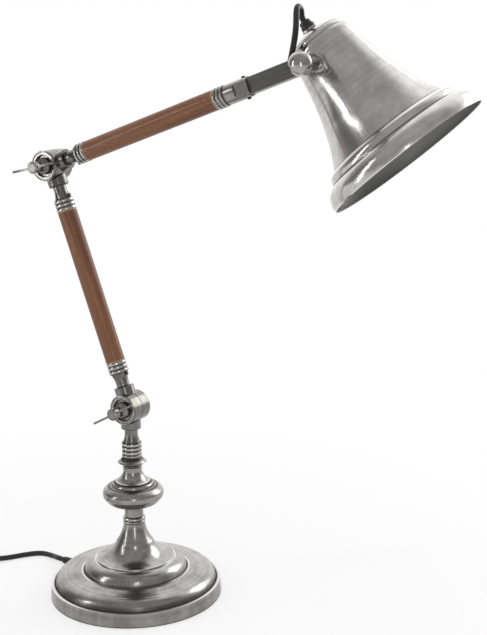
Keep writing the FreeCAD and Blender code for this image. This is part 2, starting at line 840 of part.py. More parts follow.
head_bar()
BAR_GRUB = "head_ferrule_end - bar_seat / 2"
BAR_GRUB_LENGTH = "(head_ferrule_radius + grub_proud - bar_height / 2 - bar_fit)"
grub_screws("upper_arm_grub_screws", [
    (ALONG_HEAD, "grub_seat", SEAT_RADIUS, "grub_length", 1),
    (ALONG_HEAD, BAR_GRUB, "head_ferrule_radius", BAR_GRUB_LENGTH, 1),
    (ALONG_HEAD, BAR_GRUB, "head_ferrule_radius", BAR_GRUB_LENGTH, -1),
])

# Ball knob and boss, built with Z along the pivot to the front

BAR_FACE = "bar_thickness / 2"
bush = disc_with_hole("pivot_bush", "bush_radius", "stud_radius + stud_clearance",
                      f"-{BAR_FACE}", BAR_FACE)
bush.Placement = facing(HEAD_PIVOT)


def head_knob():
    """Ball knob with a short neck and the stud that runs through the bar to the boss."""
    seat = f"({BAR_FACE} + pivot_washer_thickness + face_gap)"
    body = turned_body("head_knob", [
        ("0", "-shade_surface_offset + 1"),
        ("stud_radius", "-shade_surface_offset + 1"),
        ("stud_radius", seat),
        ("knob_neck_radius", seat),
        ("knob_neck_radius", f"{seat} + knob_neck", "-knob_radius * 0.33"),
        ("knob_radius * 0.9397", f"{seat} + knob_neck + knob_radius * 1.05", "-knob_radius * 0.13"),
        ("knob_radius * 0.7", f"{seat} + knob_neck + knob_radius * 1.5"),
        ("knob_radius * 0.62", f"{seat} + knob_neck + knob_radius * 1.42"),
        ("0", f"{seat} + knob_neck + knob_radius * 1.42"),
    ])
    body.Placement = facing(HEAD_PIVOT)


head_knob()


def pivot_washers():
    """A thin washer on each side of the bar."""
    rings = []
    for front in (True, False):
        ring = disc_with_hole(f"washer_{int(front)}", "pivot_washer_radius",
                              "stud_radius + stud_clearance", BAR_FACE,
                              f"{BAR_FACE} + pivot_washer_thickness")
        del NODES[ring.Label]
        ring.Placement = facing(HEAD_PIVOT, front=front)
        rings.append(ring)
    pair = doc.addObject("Part::Compound", "pivot_washers")
    pair.Label = "pivot_washers"
    pair.Links = rings
    keep(pair)


pivot_washers()

# Shade frame: Z runs from the crown to the mouth, X points to the boss

TILT = math.radians(value("shade_tilt"))
SIDE_LEAN = math.radians(value("shade_lean"))
SHADE_Z = Vector(math.cos(SIDE_LEAN) * math.cos(TILT), math.sin(SIDE_LEAN),
                 -math.cos(SIDE_LEAN) * math.sin(TILT))
SHADE_X = (Y_AXIS * -1 + SHADE_Z * math.sin(SIDE_LEAN)).normalize()
SHADE_TURN = Rotation(SHADE_X, SHADE_Z.cross(SHADE_X), SHADE_Z, "ZXY")
FLANK = HEAD_PIVOT + Y_AXIS * value("shade_surface_offset")
CROWN = FLANK - SHADE_X * value("shade_pivot_radius") - SHADE_Z * value("shade_pivot_depth")
SHADE = Placement(CROWN, SHADE_TURN)

SHADE_OUTSIDE = [
    ("crown_flat_radius", "0", "-1.6"),
    ("crown_radius", "crown_height"),
    ("crown_radius + 0.6", "crown_height + 0.8", "-0.9"),
    ("crown_bead_radius", "crown_bead_height"),
    ("crown_bead_radius + 0.5", "crown_bead_height + 0.9", "-0.5"),
    ("crown_shoulder_radius", "crown_shoulder_height"),
    ("flank_radius", "flank_height", "0.7"),
    ("skirt_radius", "skirt_height", "1.2"),
    ("flare_top_radius", "flare_top_height"),
    ("flare_top_radius + 0.6", "flare_top_height + 0.2", "-2.4"),
    ("bead_radius", "bead_height"),
    ("bead_radius + 0.4", "bead_height + 1", "-4.4"),
    ("lip_radius", "shade_length - 1"),
]


def shade():
    """Spun bell: domed crown with two beads, waisted flank, heavy bead and turned lip."""
    inside = []
    for number in range(len(SHADE_OUTSIDE) - 1, -1, -1):
        radius, height = SHADE_OUTSIDE[number][:2]
        deep = "shade_wall" if number < 3 else "0.35 * shade_wall"
        thin = "0.35 * shade_wall" if number < 3 else "shade_wall"
        spot = [f"{radius} - {thin}", f"{height} + {deep}"]
        if number > 0 and len(SHADE_OUTSIDE[number - 1]) == 3:
            spot.append(f"-({SHADE_OUTSIDE[number - 1][2]})")
        inside.append(tuple(spot))
    bore = "nipple_radius + rod_clearance"
    corners = [(bore, "0")] + SHADE_OUTSIDE + [("lip_radius - 0.4", "shade_length")] + inside
    body = turned_body("bell_shade", corners + [(bore, "shade_wall")])
    hole = sketch_on(body, "YZ_Plane")
    circle(hole, "stud_radius + 0.5", "0", "shade_pivot_depth")
    cut(body, hole, "shade_pivot_radius + 10", along=True)
    body.Placement = SHADE


shade()


def head_fittings():
    """Boss between bar and shade, and the nut that holds it from inside the shade."""
    low = "bar_thickness / 2 + pivot_washer_thickness"
    blank = turned_body("boss_blank", [
        ("stud_radius + stud_clearance", low),
        ("boss_radius", low),
        ("boss_radius", f"{low} + 2.4"),
        ("boss_waist_radius", f"{low} + 4.4"),
        ("boss_waist_radius", "shade_surface_offset - 5", "1"),
        ("boss_radius", "shade_surface_offset - 2"),
        ("boss_radius", "shade_surface_offset + 6"),
        ("stud_radius + stud_clearance", "shade_surface_offset + 6"),
    ])
    del NODES["boss_blank"]
    blank.Placement = facing(HEAD_PIVOT, front=False)
    form = turned_body("shade_form", [("0", "0")] + SHADE_OUTSIDE
                       + [("lip_radius", "shade_length"), ("0", "shade_length")])
    del NODES["shade_form"]
    form.Placement = SHADE
    boss = doc.addObject("Part::Cut", "shade_boss")
    boss.Label = "shade_boss"
    boss.Base = blank
    boss.Tool = form
    keep(boss)
    inner = nut("boss_nut", "boss_nut_radius", "stud_radius + 0.2", "0", "boss_nut_thickness")
    wall = value("shade_surface_offset + shade_wall + 1.9")
    inner.Placement = facing(HEAD_PIVOT + Y_AXIS * wall, front=False)


head_fittings()

# Lampholder, bulb and cable gland, all on the shade's axis

for label, radius, hole, low, high in (
        ("lamp_nipple", "nipple_radius", "nipple_bore", "-nipple_top", "nipple_length - nipple_top"),
        ("crown_ring", "gland_ring_radius", "nipple_radius + rod_clearance",
         "-gland_ring_height", "0")):
    disc_with_hole(label, radius, hole, low, high).Placement = SHADE


def cable_gland():
    """Black gland on the crown, six-sided below and rounded off where the cable enters."""
    top = "-gland_ring_height - gland_height"
    body = turned_body("cable_gland", [
        ("lead_radius + 0.1", "-gland_ring_height"),
        ("gland_radius", "-gland_ring_height"),
        ("gland_radius", "-gland_ring_height - gland_height * 0.45"),
        ("gland_radius - 1", "-gland_ring_height - gland_height * 0.5"),
        ("gland_radius - 1.2", f"{top} + 2", "0.4"),
        ("lead_radius + 1.4", top),
        ("lead_radius + 0.1", top),
    ])
    nipple_room = sketch_on(body, "XY_Plane", "-nipple_top")
    circle(nipple_room, "nipple_radius + rod_clearance")
    cut(body, nipple_room, "nipple_top", along=True)
    body.Placement = SHADE


cable_gland()


def lampholder():
    """Domed cap on the nipple and a screw shell that takes the bulb."""
    cap_end = "holder_cap_start + holder_cap_length"
    cap = turned_body("lampholder_cap", [
        ("nipple_radius + rod_clearance", "holder_cap_start - 4"),
        ("nipple_radius + 3", "holder_cap_start - 4", "-1.2"),
        ("holder_cap_radius", "holder_cap_start + 3"),
        ("holder_radius", cap_end),
        ("holder_radius - holder_wall", cap_end),
        ("holder_cap_radius - holder_wall", "holder_cap_start + 4"),
        ("nipple_radius + rod_clearance", "holder_cap_start"),
    ])
    cap.Placement = SHADE
    body = turned_body("lampholder_body", [
        ("4", cap_end),
        ("holder_radius", cap_end),
        ("holder_radius", f"{cap_end} + holder_length"),
        ("bulb_cap_radius + 0.4", f"{cap_end} + holder_length"),
        ("bulb_cap_radius + 0.4", f"{cap_end} + 5"),
        ("4", f"{cap_end} + 5"),
    ])
    body.Placement = SHADE
    contact = turned_body("lampholder_contact", [
        ("0", f"{cap_end} + 1"), ("3.6", f"{cap_end} + 1"),
        ("3.6", f"{cap_end} + 6"), ("0", f"{cap_end} + 6"),
    ])
    contact.Placement = SHADE
    start = f"({cap_end} + 6)"
    bulb_cap = turned_body("bulb_cap", [
        ("0", start),
        ("4.6", start),
        ("bulb_cap_radius - 1", f"{start} + 3"),
        ("bulb_cap_radius", f"{start} + 5"),
        ("bulb_cap_radius", f"{start} + bulb_cap_length"),
        ("0", f"{start} + bulb_cap_length"),
    ])
    bulb_cap.Placement = SHADE
    neck = f"({start} + bulb_cap_length)"
    wide = f"({start} + bulb_length - bulb_radius)"
    tip = f"({start} + bulb_length)"
    glass = turned_body("bulb_glass", [
        ("bulb_cap_radius - bulb_wall", neck),
        ("bulb_cap_radius", neck),
        ("bulb_neck_radius", f"{neck} + 8", "0.8"),
        ("bulb_radius", wide, "-bulb_radius * 0.286"),
        ("0.5", tip),
        ("0", tip),
        ("0", f"{tip} - bulb_wall"),
        ("0.5", f"{tip} - bulb_wall", "(bulb_radius - bulb_wall) * 0.286"),
        ("bulb_radius - bulb_wall", wide, "-0.8"),
        ("bulb_neck_radius - bulb_wall", f"{neck} + 8"),
    ])
    glass.Placement = SHADE


lampholder()

# Cords: straight runs joined by tangent arcs


def route_wire(points):
    """The path through points: runs joined by arcs as large as the runs allow."""
    edges = []
    radii = []
    last = points[0]
    for before, corner, after in zip(points, points[1:], points[2:]):
        come = (corner - before).normalize()
        leave = (after - corner).normalize()
        turn = come.getAngle(leave)
        reach = 0.45 * min((corner - before).Length, (after - corner).Length)
        radii.append(reach / math.tan(turn / 2))
        start = corner - come * reach
        stop = corner + leave * reach
        inward = (leave - come).normalize()
        middle = corner + inward * (radii[-1] * (1 / math.cos(turn / 2) - 1))
        edges.append(Part.LineSegment(last, start).toShape())
        edges.append(Part.Arc(start, middle, stop).toShape())
        last = stop
    edges.append(Part.LineSegment(last, points[-1]).toShape())
    return Part.Wire(edges), radii


def tube_along(wire, radius):
    """A round tube swept along a wire."""
    start = wire.Edges[0].valueAt(wire.Edges[0].FirstParameter)
    direction = wire.Edges[0].tangentAt(wire.Edges[0].FirstParameter)
    ring = Part.Wire([Part.Circle(start, direction, radius).toShape()])
    return wire.makePipeShell([ring], True, False)


def cord(label, points, radius):
    wire, radii = route_wire(points)
    tube = tube_along(wire, radius)
    wanted = math.pi * radius * radius * wire.Length
    print(f"{label}: length {wire.Length:.1f}, radii {[round(r, 1) for r in radii]}, "
          f"volume is {tube.Volume / wanted:.4f} of section times length")
    return shape_piece(label, tube)


CORD_RADIUS = value("cord_diameter") / 2
TURN = math.radians(value("cord_exit_turn"))
OUT = Vector(math.cos(TURN), math.sin(TURN), 0)
EXIT = OUT * value("base_radius") + Vector(0, 0, value("cord_exit_height"))


def strain_relief():
    """Tapered sleeve that is pressed into the rim and holds the cord."""
    body = turned_body("strain_relief", [
        ("cord_diameter / 2", "-relief_seat"),
        ("relief_radius", "-relief_seat"),
        ("relief_radius", "0.3"),
        ("relief_radius + 1.4", "0.3"),
        ("relief_radius + 1.4", "2.4"),
        ("relief_radius", "3.2"),
        ("relief_tip_radius", "relief_length"),
        ("cord_diameter / 2", "relief_length"),
    ])
    body.Placement = Placement(EXIT, Rotation(Vector(0, 0, 1), OUT))


strain_relief()

# Free stretch from the strain relief to the in-line switch, lying on the table
SWITCH_ALONG = Vector(-0.906, -0.423, 0).normalize()
SWITCH_SIDE = Vector(-SWITCH_ALONG.y, SWITCH_ALONG.x, 0)
SWITCH_IN = Vector(-229, -38, value("switch_split"))
SWITCH_OUT = SWITCH_IN + SWITCH_ALONG * value("switch_length")
CORD_START = EXIT + OUT * 12
MAINS_ROUTE = [
    CORD_START,
    EXIT + OUT * 31,
    Vector(-146.5, 28, 3.4),
    Vector(-168, 29.5, 3.3),
    Vector(-184, 12, 3.3),
    Vector(-197, -8, 3.3),
    SWITCH_IN - SWITCH_ALONG * 15,
    SWITCH_IN + SWITCH_ALONG * value("switch_seat"),
]
cord("mains_cord", MAINS_ROUTE, CORD_RADIUS)


def base_lead():
    """One lead from the strain relief to the middle of the base, where it bends up into
    the column."""
    corner = Vector(0, 0, value("cord_exit_height"))
    bend = value("cord_exit_height") - 4
    low = corner + OUT * bend
    high = corner + Vector(0, 0, bend)
    centre = low + Vector(0, 0, bend)
    middle = centre + (corner - centre).normalize() * bend
    top = Vector(0, 0, value(f"column_height - {LEAD_START}"))
    wire = Part.Wire([Part.LineSegment(CORD_START - OUT * 0.2, low).toShape(),
                      Part.Arc(low, middle, high).toShape(),
                      Part.LineSegment(high, top).toShape()])
    print(f"base_lead: bend radius {bend:.1f}")
    shape_piece("base_lead", tube_along(wire, value("lead_radius")))


base_lead()


def head_cable():
    """The loop of cable from the bar's rear side to the gland on the crown."""
    hole = UPPER_JOINT + ALONG_UPPER * value("bar_cable_place")
    up = SHADE_Z * -1
    gland = CROWN + up * value("gland_ring_height + gland_height")
    return [
        hole + Vector(0, 2, 0),
        hole + Vector(0, 13.5, 0.4),
        hole + Vector(2.5, 20, 24.6),
        hole + Vector(3.5, 25, 44.6),
        hole + Vector(-2.3, 36, 67.4),
        gland + Vector(-0.3, -4, 13),
        gland + up * 4,
        gland - up * 4,
    ]


HEAD_ROUTE = head_cable()
cord("head_cable", HEAD_ROUTE, value("lead_radius") - 0.05)


def switch_place(turn=0):
    """Frame of the in-line switch: X along the cord, Z up, origin on the table."""
    middle = (SWITCH_IN + SWITCH_OUT) * 0.5
    angle = math.degrees(math.atan2(SWITCH_ALONG.y, SWITCH_ALONG.x))
    return Placement(Vector(middle.x, middle.y, 0), Rotation(Vector(0, 0, 1), angle))


SWITCH = switch_place()


def inline_switch():
    """Two moulded halves with a rocker that tips about a pin across the cord."""
    half = "switch_length / 2"
    wide = "switch_width / 2"
    split = "switch_split"
    for label, low, high in (("switch_base", "0", split), ("switch_cover", split, "switch_height")):
        body = new_body(label)
        plan = sketch_on(body, "XY_Plane", low)
        outline(plan, [
            (f"-{half}", f"-{wide} * 0.55"), (f"-{half} * 0.6", f"-{wide}", "-1.2"),
            (f"{half} * 0.6", f"-{wide}"), (half, f"-{wide} * 0.55"),
            (half, f"{wide} * 0.55"), (f"{half} * 0.6", wide, "-1.2"),
            (f"-{half} * 0.6", wide), (f"-{half}", f"{wide} * 0.55"),
        ])
        extrude(body, plan, f"({high}) - ({low})")
        for start, outward in ((f"{half} - switch_seat", True), (f"switch_seat - {half}", False)):
            inlet = sketch_on(body, "YZ_Plane", start)
            circle(inlet, "cord_diameter / 2", "0", split)
            cut(body, inlet, "switch_seat + 1", along=outward)
        body.Placement = SWITCH
        if label == "switch_cover":
            window = sketch_on(body, "XY_Plane", "0")
            rectangle(window, "-rocker_length / 2 - rocker_gap", "-rocker_width / 2 - rocker_gap",
                      "rocker_length / 2 + rocker_gap", "rocker_width / 2 + rocker_gap")
            cut(body, window, "switch_height + 1", along=True)
    rocker = new_body("switch_rocker")
    side = sketch_on(rocker, "XZ_Plane")
    reach = "rocker_length / 2"
    outline(side, [
        (f"-{reach} * 0.86", "-3.5"), (f"{reach} * 0.86", "-3.5"),
        (reach, "1.2"), (f"{reach} * 0.97", "rocker_lift", "1.0"),
        (f"-{reach} * 0.97", "rocker_lift"), (f"-{reach}", "1.2"),
    ])
    extrude(rocker, side, "rocker_width", middle=True)
    pivot = Placement(Vector(0, 0, value("switch_height - 1.6")),
                      Rotation(Y_AXIS, value("rocker_tilt")))
    rocker.Placement = SWITCH.multiply(pivot)


inline_switch()
COIL_SIDE = SWITCH_SIDE
COIL_START = SWITCH_OUT + SWITCH_ALONG * 54
COIL_START.z = CORD_RADIUS
COIL_CENTRE = COIL_START + COIL_SIDE * value("coil_radius")
STRAIGHT = value("cord_diameter")
cord("switch_lead", [
    SWITCH_OUT - SWITCH_ALONG * value("switch_seat"),
    SWITCH_OUT + SWITCH_ALONG * 10,
    COIL_START - SWITCH_ALONG * (STRAIGHT + 17.5),
    COIL_START - SWITCH_ALONG * STRAIGHT,
], CORD_RADIUS)


def coil_points():
    """Ends of the coil's half turns: a spiral in, a climb, and a spiral out above it."""
    reach = -value("coil_radius")
    height = CORD_RADIUS
    spots = [COIL_CENTRE + COIL_SIDE * reach]
    half_turns = int(round(value("coil_half_turns")))
    steps = [-1] * (half_turns - 1) + [-1.5, 0, 1.5] + [1] * (half_turns - 1)
    sign = 1
    for step in steps:
        reach = -reach + sign * step * value("coil_pitch") / 2
        if step == 0:
            height += value("coil_layer")
        spot = COIL_CENTRE + COIL_SIDE * reach
        spot.z = height
        spots.append(spot)
        sign = -sign
    return spots


def cord_coil():
    """The coil's unbroken tube, one arc for each half turn and straight ends."""
    spots = coil_points()
    spots[0].z = CORD_RADIUS
    heading = SWITCH_ALONG
    edges = [Part.LineSegment(spots[0] - heading * STRAIGHT, spots[0]).toShape()]
    for start, stop in zip(spots, spots[1:]):
        radius = (stop - start).Length / 2
        edges.append(Part.Arc(start, (start + stop) * 0.5 + heading * radius, stop).toShape())
        heading = heading * -1
    edges.append(Part.LineSegment(spots[-1], spots[-1] + heading * STRAIGHT).toShape())
    wire = Part.Wire(edges)
    tube = tube_along(wire, CORD_RADIUS)
    wanted = math.pi * CORD_RADIUS ** 2 * wire.Length
    samples = []
    travelled = 0.0
    for edge in wire.Edges:
        for step in range(36):
            share = edge.FirstParameter + (edge.LastParameter - edge.FirstParameter) * step / 36
            samples.append((travelled + edge.Length * step / 36, edge.valueAt(share)))
        travelled += edge.Length
    apart = 5 * value("cord_diameter")
    gap = min((p - q).Length for s, p in samples for t, q in samples if t - s > apart)
    print(f"cord_coil: length {wire.Length:.1f}, least gap to itself "
          f"{gap - value('cord_diameter'):.2f}, volume is {tube.Volume / wanted:.4f}")
    shape_piece("cord_coil", tube)
    return spots[-1] + heading * STRAIGHT, heading


COIL_END, TAIL_ALONG = cord_coil()


def onward(spot, length, heading, height):
    """The next point of a route on the table, by its run's length and heading."""
    turn = math.radians(heading)
    return Vector(spot.x + length * math.cos(turn), spot.y + length * math.sin(turn), height)


PLUG_TURN = -10
PLUG_ALONG = Vector(math.cos(math.radians(PLUG_TURN)), math.sin(math.radians(PLUG_TURN)), 0)
TAIL_TURN = math.degrees(math.atan2(TAIL_ALONG.y, TAIL_ALONG.x))
TAIL = [COIL_END]
for length, heading, height in ((16, TAIL_TURN, COIL_END.z), (20, 13, 6.4), (20, -5, 3.9),
                                (18, -13, value("plug_height / 2")),
                                (16, PLUG_TURN, value("plug_height / 2"))):
    TAIL.append(onward(TAIL[-1], length, heading, height))
cord("cord_tail", TAIL, CORD_RADIUS)
PLUG_START = TAIL[-1] - PLUG_ALONG * 8


def plug():
    """Flat two-pin plug with a tapered neck, lying on its side."""
    frame = Placement(PLUG_START, Rotation(Vector(0, 0, 1), PLUG_TURN))
    body = new_body("plug_body")
    plan = sketch_on(body, "XY_Plane")
    wide = "plug_width / 2"
    outline(plan, [
        ("0", "-cord_diameter * 0.75"), ("plug_neck", "-cord_diameter * 0.9", "1.0"),
        ("plug_length * 0.62", f"-{wide}"), ("plug_length - 1", f"-{wide}", "-0.4"),
        ("plug_length", f"1 - {wide}"), ("plug_length", f"{wide} - 1", "-0.4"),
        ("plug_length - 1", wide), ("plug_length * 0.62", wide, "1.0"),
        ("plug_neck", "cord_diameter * 0.9"), ("0", "cord_diameter * 0.75"),
    ])
    extrude(body, plan, "plug_height", middle=True)
    inlet = sketch_on(body, "YZ_Plane")
    circle(inlet, "cord_diameter / 2")
    cut(body, inlet, "8", along=True)
    body.Placement = frame
    pins = []
    for side in (-1, 1):
        pin = doc.addObject("Part::Cylinder", f"plug_pin_{side + 2}")
        bind(pin, "Radius", "pin_radius")
        bind(pin, "Height", "pin_length")
        spot = Vector(value("plug_length"), side * value("pin_spread"), 0)
        pin.Placement = frame.multiply(Placement(spot, Rotation(Y_AXIS, 90)))
        pins.append(pin)
    group = doc.addObject("Part::Compound", "plug_pins")
    group.Label = "plug_pins"
    group.Links = pins
    keep(group)


plug()

# Checks and files

doc.recompute()
for piece in doc.Objects:
    if "Invalid" in piece.State or "Error" in piece.State:
        raise RuntimeError(f"{piece.Label} failed: {piece.State}")
os.makedirs("parts", exist_ok=True)
for name, piece in NODES.items():
    if piece.Shape.isNull() or not piece.Shape.isValid() or not piece.Shape.Solids:
        raise RuntimeError(f"{name} has no valid solid")
for name, piece in NODES.items():
    piece.Shape.exportStep(f"parts/{name}.step")
print(f"{len(NODES)} pieces, lower joint {LOWER_JOINT}, upper joint {UPPER_JOINT}")
print(f"head pivot {HEAD_PIVOT}, crown {CROWN}, shade axis {SHADE_Z}")
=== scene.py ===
import bpy
import math
from mathutils import Matrix, Vector


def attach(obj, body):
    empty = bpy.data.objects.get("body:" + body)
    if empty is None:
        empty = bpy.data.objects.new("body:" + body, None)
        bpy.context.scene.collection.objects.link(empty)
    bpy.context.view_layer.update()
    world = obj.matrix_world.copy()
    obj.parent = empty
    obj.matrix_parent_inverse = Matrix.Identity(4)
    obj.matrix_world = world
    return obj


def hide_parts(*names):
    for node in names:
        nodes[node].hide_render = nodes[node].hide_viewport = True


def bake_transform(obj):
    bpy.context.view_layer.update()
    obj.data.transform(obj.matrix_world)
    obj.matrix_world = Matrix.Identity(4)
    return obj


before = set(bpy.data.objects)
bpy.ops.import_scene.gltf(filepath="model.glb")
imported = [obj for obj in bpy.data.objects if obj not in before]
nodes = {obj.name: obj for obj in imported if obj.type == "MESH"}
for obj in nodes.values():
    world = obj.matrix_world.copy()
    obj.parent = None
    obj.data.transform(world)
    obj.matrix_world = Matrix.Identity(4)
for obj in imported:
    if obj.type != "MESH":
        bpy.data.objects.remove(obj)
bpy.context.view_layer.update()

# Camera, where the photographer stood: to the right of the lamp's front, a little above
# its middle, with the lamp's whole height in the frame.
LENS, SENSOR = 94.24, 36
CAMERA_PLACE = Vector((0.8323, -1.1375, 0.6416))
turn, lift, roll = math.radians(30.86), math.radians(12.53), math.radians(0.81)
looks_back = Vector((math.sin(turn) * math.cos(lift), -math.cos(turn) * math.cos(lift),
                     math.sin(lift)))
level = Vector((math.cos(turn), math.sin(turn), 0))
upright = looks_back.cross(level)
right = math.cos(roll) * level - math.sin(roll) * upright
above = math.sin(roll) * level + math.cos(roll) * upright
camera = bpy.data.objects.new("camera", bpy.data.cameras.new("camera"))
bpy.context.scene.collection.objects.link(camera)
camera.data.sensor_fit = "HORIZONTAL"
camera.data.sensor_width = SENSOR
camera.data.lens = LENS
camera.data.clip_start = 0.05
camera.matrix_world = (Matrix.Translation(CAMERA_PLACE)
                       @ Matrix((right, above, looks_back)).transposed().to_4x4())
bpy.context.scene.camera = camera
bpy.context.scene.view_settings.view_transform = "Standard"


# Finishes: shader maths is written as sums on tones, and the functions below them put a
# finish together and give it to CAD nodes.
class Tone:
    """One value, colour or direction in a finish. Sums on it add the nodes they need."""

    def __init__(self, tree, socket):
        self.tree = tree
        self.socket = socket

    def node(self, kind, settings=None, sockets=None, out=0):
        made = self.tree.nodes.new(kind)
        for name, value in (settings or {}).items():
            if name != "stops":
                setattr(made, name, value)
                continue
            stops = made.color_ramp.elements
            stops[0].position, stops[1].position = value[0][0], value[-1][0]
            for place, colour in value[1:-1]:
                stops.new(place)
            for stop, (place, colour) in zip(stops, value):
                stop.color = (*colour, 1)
        for name, value in (sockets or {}).items():
            if isinstance(value, Tone):
                self.tree.links.new(value.socket, made.inputs[name])
            else:
                made.inputs[name].default_value = value
        return Tone(self.tree, made.outputs[out])

    def sum(self, operation, *values):
        return self.node("ShaderNodeMath", {"operation": operation}, dict(enumerate(values)))

    def __add__(self, other):
        return self.sum("ADD", self, other)

    __radd__ = __add__

    def __mul__(self, other):
        return self.sum("MULTIPLY", self, other)

    __rmul__ = __mul__

    def __sub__(self, other):
        return self.sum("SUBTRACT", self, other)

    def __rsub__(self, other):
        return self.sum("SUBTRACT", other, self)

    def rises(self, low, high):
        """0 below low, 1 above high and a smooth rise between them."""
        return self.node("ShaderNodeMapRange", {"interpolation_type": "SMOOTHSTEP"},
                         {"Value": self, "From Min": low, "From Max": high})

    def near(self, place, width):
        """1 at a place and 0 further than width from it."""
        return 1 - self.sum("ABSOLUTE", self - place).rises(0, width)

    def colours(self, first, second):
        """A mix of two colours with this value as the share of the second."""
        ends = [c if isinstance(c, Tone) else (*c, 1) for c in (first, second)]
        return self.node("ShaderNodeMix", {"data_type": "RGBA"},
                         {0: self, 6: ends[0], 7: ends[1]}, 2)

    def vector(self, operation, other, out=0):
        return self.node("ShaderNodeVectorMath", {"operation": operation},
                         {0: self, 1: other}, out)

    def grain(self, scale, detail=2, sharp=0.5):
        """Cloudy noise on these coordinates."""
        return self.node("ShaderNodeTexNoise", None,
                         {"Vector": self, "Scale": scale, "Detail": detail,
                          "Roughness": sharp})


def strongest(*tones):
    """The highest of several masks at every point."""
    top = tones[0]
    for tone in tones[1:]:
        top = top.sum("MAXIMUM", top, tone)
    return top


def new_finish(name, **plain):
    """A material with its plain values set, its shader, and the coordinates to build on."""
    material = bpy.data.materials.new(name)
    material.use_nodes = True
    shader = material.node_tree.nodes["Principled BSDF"]
    for socket, value in plain.items():
        shader.inputs[socket.replace("_", " ")].default_value = value
    places = material.node_tree.nodes.new("ShaderNodeTexCoord")
    return material, shader, Tone(material.node_tree, places.outputs["Object"])


def lay(shader, socket, tone):
    """Links a tone to one of the shader's sockets."""
    tone.tree.links.new(tone.socket, shader.inputs[socket])


def raise_skin(shader, height, depth, strength=1.0):
    """Bumps the skin by a height from 0 to 1, depth metres deep."""
    lay(shader, "Normal", height.node("ShaderNodeBump", None,
        {"Height": height, "Distance": depth, "Strength": strength}))


def dress(material, *names):
    """Gives a finish to CAD nodes."""
    for name in names:
        nodes[name].data.materials.clear()
        nodes[name].data.materials.append(material)


# Studio: a white sweep, a pale table, strip lights to the left and right and soft boxes
# behind and overhead. Metal sees the white sweep behind the lamp and the dimmer room
# behind the camera.
LAMP_MIDDLE = Vector((0.12, 0, 0.33))
ROOM_LIGHT, ROOM_SHADE = 0.68, 0.42
room = bpy.data.worlds.new("studio")
room.use_nodes = True
bpy.context.scene.world = room
tree = room.node_tree
seen = Tone(tree, tree.nodes.new("ShaderNodeLightPath").outputs["Is Camera Ray"])
path = seen.socket.node
mirrored = Tone(tree, path.outputs["Is Glossy Ray"])
through = Tone(tree, path.outputs["Is Transmission Ray"])
ways = Tone(tree, tree.nodes.new("ShaderNodeTexCoord").outputs["Generated"])
behind = ways.vector("DOT_PRODUCT", (-0.35, 0.93, 0.1), "Value").rises(0.05, 0.7)
leftward = ways.vector("DOT_PRODUCT", (-0.94, -0.1, -0.3), "Value").rises(0.35, 0.85)
overhead = ways.vector("DOT_PRODUCT", (0.1, -0.1, 0.98), "Value").rises(0.2, 0.95)
sweep = ROOM_SHADE + 0.95 * behind + 0.1 * overhead - 0.26 * leftward
shown = strongest(seen, through)
strength = shown + (1 - shown) * (mirrored * sweep + (1 - mirrored) * ROOM_LIGHT)
background = tree.nodes["Background"]
background.inputs["Color"].default_value = (1, 1, 1, 1)
tree.links.new(strength.socket, background.inputs["Strength"])

for name, place, size, power in (("left_strip", (-1.0, -1.12, 0.62), (0.11, 1.25), 4.2),
                                 ("right_strip", (1.0, -1.3, 0.5), (0.1, 0.9), 2.4),
                                 ("rear_box", (0.75, 1.35, 0.95), (1.0, 1.1), 9),
                                 ("top_box", (-0.1, -0.3, 1.9), (1.5, 1.1), 8)):
    box = bpy.data.lights.new(name, "AREA")
    box.shape = "RECTANGLE"
    box.size, box.size_y = size
    box.energy = power
    lamp = bpy.data.objects.new(name, box)
    lamp.visible_camera = False
    lamp.visible_glossy = name != "top_box"
    lamp.location = place
    aim = LAMP_MIDDLE - Vector(place)
    lamp.rotation_euler = aim.to_track_quat("-Z", "Y").to_euler()
    bpy.context.scene.collection.objects.link(lamp)

TABLE_SIZE, TABLE_GAP = 8, 0.0002
bpy.ops.object.select_all(action="DESELECT")
bpy.ops.mesh.primitive_plane_add(size=TABLE_SIZE, location=(0, 0, -TABLE_GAP))
floor = bpy.context.object
floor.name = "table_top"
pale = bpy.data.materials.new("pale_table")
pale.use_nodes = True
tree = pale.node_tree
tree.nodes.remove(tree.nodes["Principled BSDF"])
seen = Tone(tree, tree.nodes.new("ShaderNodeLightPath").outputs["Is Camera Ray"])
mirrored = Tone(tree, seen.socket.node.outputs["Is Glossy Ray"])
spot = Tone(tree, tree.nodes.new("ShaderNodeTexCoord").outputs["Object"])
far = spot.node("ShaderNodeVectorMath", {"operation": "LENGTH"}, {0: spot}, "Value")
fades = 0.66 + 0.34 * far.rises(0.2, 0.75)
rearward = spot.vector("DOT_PRODUCT", (-0.5, 0.85, 0), "Value").rises(-0.1, 0.45)
dims = mirrored * (0.3 + 0.7 * rearward)
matt = seen.node("ShaderNodeBsdfDiffuse", None, {"Color": (0.86, 0.86, 0.86, 1)})
glow = seen.node("ShaderNodeEmission", None, {"Color": (1, 1, 1, 1), "Strength": 1})
cover = seen.node("ShaderNodeMixShader", None,
                  {0: strongest(seen, dims) * fades, 1: matt, 2: glow})
tree.links.new(cover.socket, tree.nodes["Material Output"].inputs["Surface"])
floor.data.materials.append(pale)

# Mains cord: round black two-core lead, 6.5 mm, that leaves the base at the left rear,
# lies on the table to the in-line switch, is wound up past it and ends in its plug.
sheath, shader, spot = new_finish("cord_sheath", Roughness=0.42, Specular_IOR_Level=0.3)
worn = spot.grain(90, 3)
lay(shader, "Base Color", worn.colours((0.012, 0.012, 0.013), (0.026, 0.026, 0.028)))
lay(shader, "Roughness", 0.34 + 0.16 * spot.grain(240, 2))
raise_skin(shader, spot.grain(700, 2), 0.0001, 0.35)

